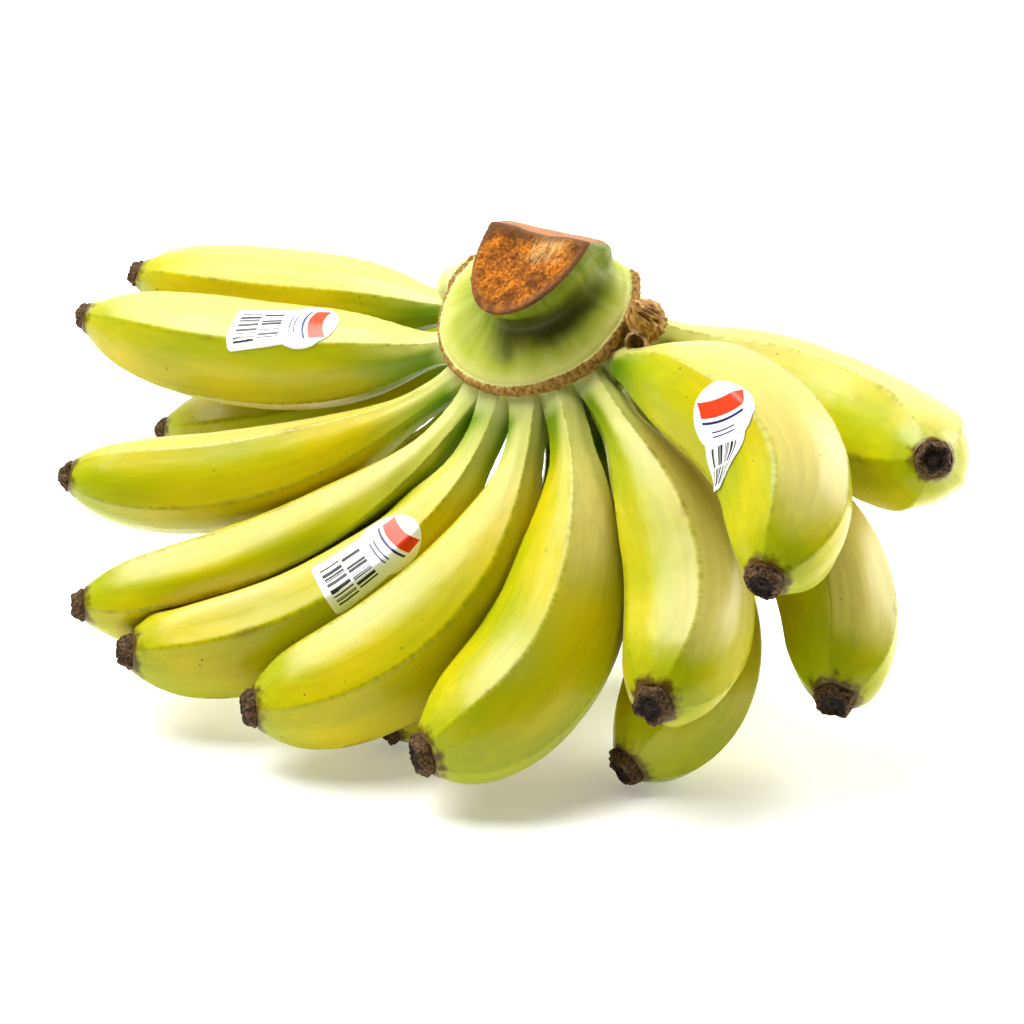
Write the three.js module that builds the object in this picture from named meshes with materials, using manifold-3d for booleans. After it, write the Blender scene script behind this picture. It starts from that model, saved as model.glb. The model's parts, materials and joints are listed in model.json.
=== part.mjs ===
// A hand of baby bananas, standing on its fingers with the cut stalk up.
// Millimetres, +Z up. The origin lies on the surface, under the middle of the hand's outline.
//
// The hand is laid out in a frame of its own before it is stood up: +z runs along the stalk and out
// of its cut end, and +x points to the middle of the fan of fingers, straight away from the knife cut
// that took the hand off the plant. Angles round the stalk are in degrees from +x.

import * as THREE from "three";
import { ConvexHull } from "three/addons/math/ConvexHull.js";
import { mergeVertices } from "three/addons/utils/BufferGeometryUtils.js";
import Module from "manifold-3d";

const wasm = await Module();
wasm.setup();

// ---- driving dimensions ----

const girth = 15.2; // radius of a middling finger at its thickest
const gap = 0.45; // free space between two pieces that press on each other
const crownRadius = 26; // the cushion that the fingers grow from
const scarHeight = 3; // how far the bract scar stands out round the cushion's top edge
const scarHalfWidth = 4.4;
const stalkTilt = 36.5; // degrees that the stalk leans from upright
const stalkHeading = -124.5; // degrees from +X to the way that it leans

// seat: angle and height of the finger's foot on the crown. droop: degrees by which it sets out away
// from the cut end. tip: angle, distance from the stalk and height of the dry end. curl and sweep: how
// far the end turns up towards the cut, and back along the fan. bow: how far the foot's and the tip's
// directions carry. size: share of the middling girth. neck: below 1 it swells sooner. roll: degrees
// by which its corners are turned.
const fingers = [
  { name: "finger_upper_01", seat: [-86, -7.5], droop: 8, tip: [-83, 135.5, -4.5],
    curl: 0.3, sweep: 0, bow: [0.38, 0.38], size: 0.92, neck: 0.78, roll: 18 },
  { name: "finger_upper_02", seat: [-60, -7.5], droop: -4, tip: [-74.6, 141.5, 2],
    curl: 0.28, sweep: 0.1, bow: [0.34, 0.38], size: 0.98, neck: 0.7, roll: 18 },
  { name: "finger_upper_03", seat: [-36, -7.5], droop: 8, tip: [-53, 142, -2],
    curl: 0.45, sweep: 0.2, bow: [0.38, 0.38], size: 0.9, neck: 1, roll: 46 },
  { name: "finger_upper_04", seat: [-18, -7.5], droop: 14, tip: [-37, 149, -8],
    curl: 0.4, sweep: 0.3, bow: [0.38, 0.38], size: 0.92, neck: 1, roll: 60 },
  { name: "finger_upper_05", seat: [-1, -7.5], droop: 22, tip: [-29, 144.5, -11],
    curl: 0.7, sweep: 0.3, bow: [0.38, 0.38], size: 1.07, neck: 1, roll: 11 },
  { name: "finger_upper_06", seat: [18, -7.5], droop: 18, tip: [-13, 132, -17.5],
    curl: 0.6, sweep: 0.6, bow: [0.42, 0.42], size: 1.1, neck: 1, roll: 0 },
  { name: "finger_upper_07", seat: [38, -7.5], droop: 16, tip: [10, 127, -22.5],
    curl: 0.7, sweep: 0.8, bow: [0.44, 0.44], size: 1.16, neck: 1, roll: 30 },
  { name: "finger_upper_08", seat: [57, -7.5], droop: 14, tip: [39.6, 121.5, -20.5],
    curl: 0.85, sweep: 0.6, bow: [0.4, 0.44], size: 1.1, neck: 1, roll: 16 },
  { name: "finger_upper_09", seat: [76, -7.5], droop: -20, tip: [58, 120, 1],
    curl: 0.5, sweep: 1.1, bow: [0.55, 0.55], size: 1.13, neck: 0.8, roll: 38 },
  { name: "finger_upper_10", seat: [108, -12], droop: 40, tip: [84.5, 124, -7.4],
    curl: 1.3, sweep: 0.5, bow: [0.44, 0.5], size: 1.09, neck: 0.8, roll: 32 },
  { name: "finger_lower_01", seat: [-104, -3.5], droop: 80, tip: [-98, 112, -62],
    curl: 0.4, sweep: 0, bow: [0.36, 0.36], size: 0.96, neck: 1, roll: 50 },
  { name: "finger_lower_02", seat: [-72, -20], droop: 30, tip: [-70, 133, -40],
    curl: 0.5, sweep: 0, bow: [0.36, 0.36], size: 0.92, neck: 1, roll: 12 },
  { name: "finger_lower_03", seat: [-44, -20], droop: 34, tip: [-44, 121, -64],
    curl: 0.5, sweep: 0, bow: [0.36, 0.36], size: 0.95, neck: 1, roll: 40 },
  { name: "finger_lower_04", seat: [26, -20], droop: 34, tip: [-4, 111, -47.5],
    curl: 0.5, sweep: 0.2, bow: [0.36, 0.36], size: 0.92, neck: 1, roll: 0 },
  { name: "finger_lower_05", seat: [48, -20], droop: 37, tip: [30.6, 114, -55],
    curl: 0.6, sweep: 1, bow: [0.44, 0.55], size: 1.13, neck: 1, roll: 20 },
  { name: "finger_lower_06", seat: [82, -20], droop: 30, tip: [59, 120, -58],
    curl: 0.6, sweep: 0.8, bow: [0.5, 0.46], size: 1.02, neck: 1.15, roll: 56 },
  { name: "finger_lower_07", seat: [66, -20], droop: 50, tip: [50, 58, -104],
    curl: 0.3, sweep: 0, bow: [0.36, 0.36], size: 0.92, neck: 1, roll: 30 },
];

// ---- the shape of one finger ----

const ridges = 5; // corners of the skin
const ridgeHeight = 0.045; // how far a corner stands out, as a share of the radius
const sides = 3 * ridges; // one column on each corner and two on each face between

// Share of the full girth along the finger, from its foot on the crown (0) to its dry end (1).
const girthAlong = [
  [0.0, 0.36],
  [0.05, 0.32],
  [0.13, 0.34],
  [0.21, 0.48],
  [0.31, 0.71],
  [0.42, 0.89],
  [0.54, 0.98],
  [0.66, 1.0],
  [0.77, 0.96],
  [0.86, 0.83],
  [0.925, 0.6],
  [0.958, 0.39],
  [0.97, 0.32],
  [1.0, 0.28],
];
const stations = [
  0, 0.03, 0.08, 0.14, 0.2, 0.27, 0.34, 0.42, 0.5, 0.58, 0.66, 0.74, 0.81, 0.87, 0.915, 0.945,
  0.963, 0.974, 1,
];
const spineSteps = 80; // places at which a neighbour's middle line is felt

const radians = THREE.MathUtils.degToRad;
const stalkAxis = new THREE.Vector3(0, 0, 1);

// A point at an angle round the stalk.
function around(angle, radius, height) {
  const a = radians(angle);
  return new THREE.Vector3(radius * Math.cos(a), radius * Math.sin(a), height);
}

// The value of a list of [place, value] at a place, eased between neighbours.
function along(list, place) {
  const next = Math.max(1, list.findIndex(([p]) => p >= place));
  const [p0, v0] = list[next - 1];
  const [p1, v1] = list[next];
  const before = list[Math.max(0, next - 2)];
  const after = list[Math.min(list.length - 1, next + 1)];
  const slope0 = (v1 - before[1]) / (p1 - before[0]);
  const slope1 = (after[1] - v0) / (after[0] - p0);
  const s = (place - p0) / (p1 - p0);
  const h = p1 - p0;
  return (
    v0 * (1 + 2 * s) * (1 - s) ** 2 +
    slope0 * h * s * (1 - s) ** 2 +
    v1 * s * s * (3 - 2 * s) +
    slope1 * h * s * s * (s - 1)
  );
}

// The middle line of a finger, from its foot on the crown to its dry end.
function middleLine(finger) {
  const [seatAngle, seatHeight] = finger.seat;
  const foot = around(seatAngle, crownRadius + gap, seatHeight);
  const tip = around(...finger.tip);
  const chord = tip.clone().sub(foot);
  const droop = radians(finger.droop);
  const leaving = around(seatAngle, Math.cos(droop), -Math.sin(droop));
  const ending = chord
    .clone()
    .normalize()
    .addScaledVector(stalkAxis, finger.curl)
    .add(around(finger.tip[0] - 90, finger.sweep, 0))
    .normalize();
  const [footBow, tipBow] = finger.bow;
  return new THREE.CubicBezierCurve3(
    foot,
    foot.clone().addScaledVector(leaving, footBow * chord.length()),
    tip.clone().addScaledVector(ending, -tipBow * chord.length()),
    tip,
  );
}

// The middle line's places as centre, direction, two directions across, and radius of the skin.
function spineOf(finger, places) {
  const line = middleLine(finger);
  line.arcLengthDivisions = 400;
  let down = stalkAxis.clone().negate();
  return places.map((place) => {
    const centre = line.getPointAt(place);
    const tangent = line.getTangentAt(place);
    down = down.clone().addScaledVector(tangent, -down.dot(tangent)).normalize();
    const side = tangent.clone().cross(down);
    const radius = girth * finger.size * along(girthAlong, place ** finger.neck);
    return { centre, down, side, radius };
  });
}

// How far a point lies outside a finger, or inside it where this is negative.
function outside(spine, point) {
  let least = Infinity;
  for (const { centre, radius } of spine) least = Math.min(least, centre.distanceTo(point) - radius);
  return least;
}

// Two fingers that press on each other share the space between them evenly, so a point of the skin
// is drawn in towards its own middle line until it is on its own side of the other fingers.
function pressed(point, centre, own, others) {
  const free = (p) => {
    const mine = outside(own, p) + gap;
    return others.every((other) => outside(other, p) >= mine);
  };
  if (free(point)) return point;
  let inner = 0;
  let outer = 1;
  for (let i = 0; i < 14; i++) {
    const middle = (inner + outer) / 2;
    if (free(centre.clone().lerp(point, middle))) inner = middle;
    else outer = middle;
  }
  return centre.clone().lerp(point, inner);
}

// Keeps a point outside the crown's cushion and the scar round it.
function seated(point) {
  const reach = Math.hypot(point.x, point.y);
  const scar = scarHeight * Math.max(0, 1 - Math.abs(point.z) / scarHalfWidth);
  const least = crownRadius + scar + gap;
  if (reach >= least) return point;
  return new THREE.Vector3((point.x * least) / reach, (point.y * least) / reach, point.z);
}

// A point of the skin: turn is in degrees round the finger, lift is how far off the skin it is.
function skinPoint(finger, place, turn, lift) {
  const { centre, down, side, radius } = place;
  const ridge = Math.cos(radians(ridges * turn));
  const height = ridgeHeight * Math.min(1, radius / girth) * ridge;
  const reach = radius * (1 + height) + lift;
  const a = radians(turn + finger.roll);
  return centre
    .clone()
    .addScaledVector(down, reach * Math.cos(a))
    .addScaledVector(side, reach * Math.sin(a));
}

const evenly = (count) => Array.from({ length: count + 1 }, (_, i) => i / count);
const spines = fingers.map((finger) => spineOf(finger, evenly(spineSteps)));

function fingerGeometry(finger) {
  const own = spines[fingers.indexOf(finger)];
  const others = spines.filter((spine) => spine !== own);
  const places = spineOf(finger, stations);
  const rings = places.map((place) =>
    Array.from({ length: sides }, (_, i) => {
      const point = skinPoint(finger, place, (i * 360) / sides, 0);
      return pressed(seated(point), place.centre, own, others);
    }),
  );
  return lofted(rings);
}

// A closed solid through rings of points, each end closed by a fan round its middle.
function lofted(rings) {
  const count = rings[0].length;
  const middle = (ring) => ring.reduce((sum, p) => sum.add(p), new THREE.Vector3()).divideScalar(count);
  const points = [middle(rings[0]), ...rings.flat(), middle(rings.at(-1))];
  const last = points.length - 1;
  const faces = [];
  for (let i = 0; i < count; i++) {
    const j = (i + 1) % count;
    faces.push(0, 1 + j, 1 + i);
    faces.push(last, last - count + i, last - count + j);
    for (let ring = 0; ring < rings.length - 1; ring++) {
      const a = 1 + ring * count;
      const b = a + count;
      faces.push(a + i, a + j, b + j, a + i, b + j, b + i);
    }
  }
  return meshOf(points, faces);
}

function meshOf(points, faces) {
  const position = new THREE.Float32BufferAttribute(points.flatMap((p) => p.toArray()), 3);
  return new THREE.BufferGeometry().setAttribute("position", position).setIndex(faces);
}

// ---- the crown: cushion, bract scar, and the stub of the stalk ----

// Height, middle (x, y), reach towards the fan, reach to the back and half-width of each section.
const crownSections = [
  [-33, -6, 0, 12, 14, 12],
  [-31.5, -5, 0, 18, 20, 18],
  [-28, -3, 0, 23, 24, 23],
  [-22, 0, 0, 25.4, 26, 25.4],
  [-17, 0, 0, 26, 26, 26],
  [-3.6, 0, 0, 26, 26, 26],
  [-1.6, 0, 0, 27.4, 27.4, 27.4],
  [0, 0, 0, 28.4, 28.4, 28.4],
  [1.4, 0, 0.3, 27.8, 27.8, 28],
  [2.4, 0, 0.5, 26.4, 26.4, 26.6],
  [4.8, -1, 0.8, 24, 22, 22.6],
  [7, -4, 1.6, 23.4, 20, 20],
  [10, -7, 3, 23.4, 18, 18],
  [14, -8, 3.8, 24, 18, 17],
  [18, -9, 3, 25.4, 18, 16],
  [20.5, -10, 2.4, 27, 18, 15.6],
];
const crownSides = 40;
// The face that the knife left, from the top of the stub to below the crown: x and height.
const knifeCut = [
  [-6.5, 24],
  [-10.5, 20.5],
  [-15, 16],
  [-17.2, 11],
  [-17.6, 0],
  [-18.6, -12],
  [-21, -24],
  [-25, -36],
];

function solidFrom(geometry) {
  const bare = geometry.clone();
  for (const name of ["normal", "uv"]) bare.deleteAttribute(name);
  const merged = mergeVertices(bare, 1e-3);
  return new wasm.Manifold(
    new wasm.Mesh({
      numProp: 3,
      vertProperties: merged.attributes.position.array,
      triVerts: new Uint32Array(merged.index.array),
    }),
  );
}

function geometryFrom(solid) {
  const mesh = solid.getMesh();
  return new THREE.BufferGeometry()
    .setAttribute("position", new THREE.BufferAttribute(mesh.vertProperties, 3))
    .setIndex(new THREE.BufferAttribute(mesh.triVerts, 1));
}

function crownGeometry() {
  const rings = crownSections.map(([height, x, y, front, back, side]) =>
    Array.from({ length: crownSides }, (_, i) => {
      const a = (i / crownSides) * 2 * Math.PI;
      const reach = Math.cos(a) > 0 ? front : back;
      return new THREE.Vector3(x + reach * Math.cos(a), y + side * Math.sin(a), height);
    }),
  );
  const behind = new THREE.Shape([
    new THREE.Vector2(-60, knifeCut[0][1]),
    new THREE.Vector2(-60, knifeCut.at(-1)[1]),
    ...knifeCut.map(([x, z]) => new THREE.Vector2(x, z)).reverse(),
  ]);
  const knife = new THREE.ExtrudeGeometry(behind, { depth: 90, bevelEnabled: false })
    .translate(0, 0, -45)
    .rotateX(Math.PI / 2);
  return geometryFrom(solidFrom(lofted(rings)).subtract(solidFrom(knife)));
}

// ---- the dried stump of a finger that broke off ----

// Angle round the stalk, distance, height, and half-width along and across the crown's edge.
const stumpSections = [
  [98, 31, -7, 3.6, 3.2],
  [98, 31.8, -4.5, 5.2, 4.8],
  [97, 32.6, -1, 6, 5.2],
  [95, 33.4, 3.5, 5.8, 4.8],
  [93, 33.6, 7, 4.6, 3.8],
  [91, 34.4, 9.5, 2.8, 2.4],
  [90, 35.2, 11.5, 1.6, 1.4],
];
const stumpSides = 12;

function stumpGeometry() {
  const rings = stumpSections.map(([angle, distance, height, half, depth]) =>
    Array.from({ length: stumpSides }, (_, i) => {
      const a = (i / stumpSides) * 2 * Math.PI;
      const point = around(angle, distance, height)
        .add(around(angle, depth * Math.cos(a), 0))
        .add(around(angle + 90, half * Math.sin(a), 0));
      return seated(point);
    }),
  );
  return lofted(rings);
}

// ---- labels: a round head on a narrower tail, stuck to the skin ----

const labelLength = 32;
const headRadius = 9;
const tailHalfWidth = 7;
const labelThickness = 0.3;
const labelLift = 0.4; // clear of the skin under it
const labelRows = 14;
const labelColumns = 8;

// at: share of the finger's length at the middle of the label. turn: degrees round the finger, from
// its underside. spin: degrees that the label is turned on the skin; at 0 its tail points to the tip.
const labels = [
  { name: "label_1", finger: "finger_upper_02", at: 0.386, turn: 187, spin: -10 },
  { name: "label_2", finger: "finger_upper_05", at: 0.41, turn: 164, spin: -3 },
  { name: "label_3", finger: "finger_upper_09", at: 0.536, turn: 218, spin: 38 },
];

// Half the label's width at a distance from the far end of its head.
function labelHalfWidth(distance) {
  const fromMiddle = distance - headRadius;
  const head = Math.sqrt(Math.max(0, headRadius ** 2 - fromMiddle ** 2));
  return fromMiddle > 0 ? Math.max(head, tailHalfWidth) : head;
}

function labelGeometry(label) {
  const finger = fingers.find(({ name }) => name === label.finger);
  const length = middleLine(finger).getLength();
  const spin = radians(label.spin);
  const start = 0.06 * headRadius;
  const sheet = (lift) =>
    evenly(labelRows).map((row) => {
      const distance = start + row * (labelLength - start);
      const down = distance - labelLength / 2;
      return evenly(labelColumns).map((column) => {
        const across = labelHalfWidth(distance) * (2 * column - 1);
        const lengthways = down * Math.cos(spin) - across * Math.sin(spin);
        const sideways = down * Math.sin(spin) + across * Math.cos(spin);
        const place = label.at + lengthways / length;
        const spot = spineOf(finger, evenly(spineSteps / 2).map((share) => share * place)).at(-1);
        const turn = label.turn + THREE.MathUtils.radToDeg(sideways / spot.radius);
        return skinPoint(finger, spot, turn - finger.roll, lift);
      });
    });
  return slab(sheet(labelLift + labelThickness), sheet(labelLift));
}

// A closed solid between two grids of points, with a wall round their edge.
function slab(over, under) {
  const endRow = over.length - 1;
  const endColumn = over[0].length - 1;
  const points = [...over.flat(), ...under.flat()];
  const top = (row, column) => row * (endColumn + 1) + column;
  const low = (row, column) => points.length / 2 + top(row, column);
  const faces = [];
  const quad = (a, b, c, d) => faces.push(a, b, c, a, c, d);
  for (let row = 0; row < endRow; row++) {
    const next = row + 1;
    for (let column = 0; column < endColumn; column++) {
      quad(top(row, column), top(row, column + 1), top(next, column + 1), top(next, column));
      quad(low(row, column), low(next, column), low(next, column + 1), low(row, column + 1));
    }
    quad(top(row, 0), top(next, 0), low(next, 0), low(row, 0));
    quad(top(next, endColumn), top(row, endColumn), low(row, endColumn), low(next, endColumn));
  }
  for (let column = 0; column < endColumn; column++) {
    const next = column + 1;
    quad(top(0, next), top(0, column), low(0, column), low(0, next));
    quad(top(endRow, column), top(endRow, next), low(endRow, next), low(endRow, column));
  }
  return meshOf(points, faces);
}

// ---- materials ----

const skin = new THREE.MeshStandardMaterial({ color: 0xc9cf2a, roughness: 0.45, metalness: 0 });
const crownSkin = new THREE.MeshStandardMaterial({ color: 0x93a83c, roughness: 0.5, metalness: 0 });
const driedSkin = new THREE.MeshStandardMaterial({ color: 0x8a6a3c, roughness: 0.9, metalness: 0 });
const labelPaper = new THREE.MeshStandardMaterial({ color: 0xf4f3ee, roughness: 0.35, metalness: 0 });

// ---- assembly ----

const settlingRocks = 6;
const hand = new THREE.Group();

function add(name, geometry, material) {
  const mesh = new THREE.Mesh(geometry, material);
  mesh.name = name;
  hand.add(mesh);
}

add("crown", crownGeometry(), crownSkin);
for (const finger of fingers) add(finger.name, fingerGeometry(finger), skin);
add("dried_stump", stumpGeometry(), driedSkin);
for (const label of labels) add(label.name, labelGeometry(label), labelPaper);

hand.rotation.set(0, radians(stalkTilt), radians(stalkHeading), "ZYX");

// ---- standing ----

// The hand's corners as they lie, and its centre of mass, its pieces being equally dense.
function weigh() {
  hand.updateMatrixWorld(true);
  const corners = [];
  const centre = new THREE.Vector3();
  let whole = 0;
  for (const { geometry, matrixWorld } of hand.children) {
    const { position } = geometry.attributes;
    const points = [];
    for (let i = 0; i < position.count; i++) {
      points.push(new THREE.Vector3().fromBufferAttribute(position, i).applyMatrix4(matrixWorld));
    }
    corners.push(...points);
    const { array } = geometry.index;
    for (let i = 0; i < array.length; i += 3) {
      const [a, b, c] = [points[array[i]], points[array[i + 1]], points[array[i + 2]]];
      const volume = a.dot(b.clone().cross(c)) / 6;
      whole += volume;
      for (const corner of [a, b, c]) centre.addScaledVector(corner, volume / 4);
    }
  }
  return { corners, centre: centre.divideScalar(whole) };
}

// Rocks the hand until the flat under its centre of mass, across the fingers that carry it, is level.
function settle() {
  const down = stalkAxis.clone().negate();
  for (let rocks = 0; rocks < settlingRocks; rocks++) {
    const { corners, centre } = weigh();
    const { faces } = new ConvexHull().setFromPoints(corners);
    const drop = (face) => -face.distanceToPoint(centre) / face.normal.dot(down);
    const below = faces.filter((face) => face.normal.dot(down) > 0.1);
    const flat = below.reduce((best, face) => (drop(face) < drop(best) ? face : best));
    hand.quaternion.premultiply(new THREE.Quaternion().setFromUnitVectors(flat.normal, down));
  }
}

settle();

const outline = new THREE.Box3().setFromPoints(weigh().corners);
const middle = outline.getCenter(new THREE.Vector3());
hand.position.set(-middle.x, -middle.y, -outline.min.z);

const part = new THREE.Group();
part.add(hand);

export default part;
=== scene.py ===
import json
import math

import bmesh
import bpy
from mathutils import Matrix, Vector, noise
from mathutils.bvhtree import BVHTree

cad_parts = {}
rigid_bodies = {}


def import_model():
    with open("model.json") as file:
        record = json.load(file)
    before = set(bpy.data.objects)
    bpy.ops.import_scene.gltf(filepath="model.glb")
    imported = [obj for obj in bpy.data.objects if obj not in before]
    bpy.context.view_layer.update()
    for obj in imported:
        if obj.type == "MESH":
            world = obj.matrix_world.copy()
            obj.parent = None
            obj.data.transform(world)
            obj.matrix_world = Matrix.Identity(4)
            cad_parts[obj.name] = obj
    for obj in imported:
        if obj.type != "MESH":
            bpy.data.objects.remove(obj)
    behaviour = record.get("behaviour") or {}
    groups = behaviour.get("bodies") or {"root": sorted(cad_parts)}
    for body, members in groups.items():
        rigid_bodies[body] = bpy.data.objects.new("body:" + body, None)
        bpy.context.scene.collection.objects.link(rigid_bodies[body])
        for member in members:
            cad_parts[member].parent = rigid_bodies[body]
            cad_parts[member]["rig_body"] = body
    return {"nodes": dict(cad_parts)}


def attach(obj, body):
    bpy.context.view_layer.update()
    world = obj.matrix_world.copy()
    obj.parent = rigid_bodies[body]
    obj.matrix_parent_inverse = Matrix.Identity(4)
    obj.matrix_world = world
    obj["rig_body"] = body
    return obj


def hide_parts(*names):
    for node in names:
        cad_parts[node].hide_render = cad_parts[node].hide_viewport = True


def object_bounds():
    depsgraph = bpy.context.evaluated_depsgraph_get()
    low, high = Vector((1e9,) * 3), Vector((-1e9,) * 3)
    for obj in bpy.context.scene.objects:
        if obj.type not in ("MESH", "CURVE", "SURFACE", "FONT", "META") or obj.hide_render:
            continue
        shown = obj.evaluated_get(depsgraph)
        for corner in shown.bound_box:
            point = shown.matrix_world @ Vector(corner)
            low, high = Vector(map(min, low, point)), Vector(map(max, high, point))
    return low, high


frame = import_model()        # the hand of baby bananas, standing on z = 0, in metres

mm = 0.001
nodes = frame["nodes"]

for stray in [o for o in bpy.data.objects if "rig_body" not in o and not o.name.startswith("body:")]:
    bpy.data.objects.remove(stray)
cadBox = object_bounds()


def smoothStep(low, high, value):
    share = min(1.0, max(0.0, (value - low) / (high - low)))
    return share * share * (3 - 2 * share)


def hump(value, start, fullFrom, fullTo, end):
    # 1 between fullFrom and fullTo, fading to 0 at start and at end
    return smoothStep(start, fullFrom, value) * smoothStep(end, fullTo, value)


def noiseAt(place, stretch, length):
    # noise with lumps about this long, drawn out along an axis where stretch is below 1
    return noise.noise(Vector(p * s for p, s in zip(place, stretch)) / length)


def roundNoise(turn, third, scale):
    # noise that closes on itself after a full turn
    return noise.noise(Vector((math.cos(turn), math.sin(turn), third)) * scale)


def middleOf(points):
    return sum(points, Vector()) / len(points)


# The stalk's own axes, read from the flat cut across the stub: z runs out of the cut, x to the
# middle of the fan, and the origin is the middle of the bract scar.
stalkPlan = {
    "tilt": 36.5,            # degrees from upright, near enough to find the cut face
    "heading": -124.5,
    "cutHeight": 20.5 * mm,  # of the cut face over the scar's middle
    "cutMiddle": (-10 * mm, 2.4 * mm),
    "cutFlat": 0.995,        # how squarely a face of the cut looks along the stalk
}


def findStalk():
    tilt = math.radians(stalkPlan["tilt"])
    heading = math.radians(stalkPlan["heading"])
    turn = Matrix.Rotation(heading, 3, "Z") @ Matrix.Rotation(tilt, 3, "Y")
    mesh = nodes["crown"].data
    cut = [p for p in mesh.polygons if p.normal.dot(turn.col[2]) > stalkPlan["cutFlat"]]
    axis = sum((p.normal * p.area for p in cut), Vector()).normalized()
    corners = [mesh.vertices[i].co for p in cut for i in p.vertices]
    left = min(corners, key=lambda c: c.dot(turn.col[1]))
    right = max(corners, key=lambda c: c.dot(turn.col[1]))
    across = (right - left).normalized()
    ahead = across.cross(axis).normalized()
    across = axis.cross(ahead)
    x, y = stalkPlan["cutMiddle"]
    origin = (left + right) / 2 - ahead * x - across * y - axis * stalkPlan["cutHeight"]
    axes = Matrix((ahead, across, axis)).transposed().to_4x4()
    return Matrix.Translation(origin) @ axes


stalk = findStalk()
toStalk = stalk.inverted()
scarMiddle = stalk.translation
print("stalk found at", [round(c / mm, 2) for c in scarMiddle])

cameraPlan = {
    "elevation": 20.0,   # degrees over the floor, seen from the scar's middle
    "distance": 0.95,
    "lens": 125.2,       # millimetres
    "sensor": 36,
    "aimBelow": 3.28,    # degrees from the scar's middle down to the picture's middle
    "aimLeft": 0.45,
}


def makeCamera():
    rise = math.radians(cameraPlan["elevation"])
    back = Vector((0, -math.cos(rise), math.sin(rise)))
    camera = bpy.data.objects.new("camera", bpy.data.cameras.new("camera"))
    camera.location = scarMiddle + back * cameraPlan["distance"]
    pitch = rise + math.radians(cameraPlan["aimBelow"])
    camera.rotation_euler = (math.pi / 2 - pitch, 0, math.radians(cameraPlan["aimLeft"]))
    camera.data.lens = cameraPlan["lens"]
    camera.data.sensor_width = cameraPlan["sensor"]
    camera.data.clip_start = 0.05
    camera.data.clip_end = 50
    bpy.context.scene.collection.objects.link(camera)
    bpy.context.scene.camera = camera


makeCamera()
print("camera made")


def linear(hexColour):
    # an sRGB hex colour as the linear colour that nodes take
    channels = [int(hexColour[i:i + 2], 16) / 255 for i in (1, 3, 5)]
    return [c / 12.92 if c <= 0.04045 else ((c + 0.055) / 1.055) ** 2.4 for c in channels] + [1]


# settings that many nodes share
soft = {"interpolation_type": "SMOOTHSTEP"}
rgba = {"data_type": "RGBA"}


def addNode(tree, kind, settings=None, links=None):
    # settings are properties or input values, and links give an input a node or (node, output).
    # By number, a Map Range takes its input 0 from between 1 and 2 to between 3 and 4, and a Mix of
    # colours goes from 6 to 7 by its input 0.
    node = tree.nodes.new(kind)
    for key, value in (settings or {}).items():
        if isinstance(key, str) and hasattr(node, key):
            setattr(node, key, value)
        else:
            node.inputs[key].default_value = value
    for key, link in (links or {}).items():
        if isinstance(link, tuple):
            output = link[0].outputs[link[1]]
        else:
            output = next(o for o in link.outputs if o.enabled)
        tree.links.new(output, node.inputs[key])
    return node


def newMaterial(name):
    material = bpy.data.materials.new(name)
    material.use_nodes = True
    tree = material.node_tree
    tree.nodes.clear()
    return material, tree


studioPlan = {
    "floorSide": 8.0,
    "floorColour": "#f2f2f2",
    "floorGlow": 0.25,       # the sheet is lit from below a little, which keeps the shadows light
    "fillFront": 0.03,       # the side that the camera stands on is dim
    "fillBack": 0.70,
    "fillTurn": (-0.35, 0.75),   # y of the directions between which the fill changes
    "aim": (0, 0, 0.06),
    # place, width and power of each softbox
    "softboxes": {
        "leftSoftbox": ((-0.45, 0.10, 1.00), 0.90, 17.5),
        "rightSoftbox": ((0.90, 0.30, 0.50), 0.70, 10.0),
    },
}


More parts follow.
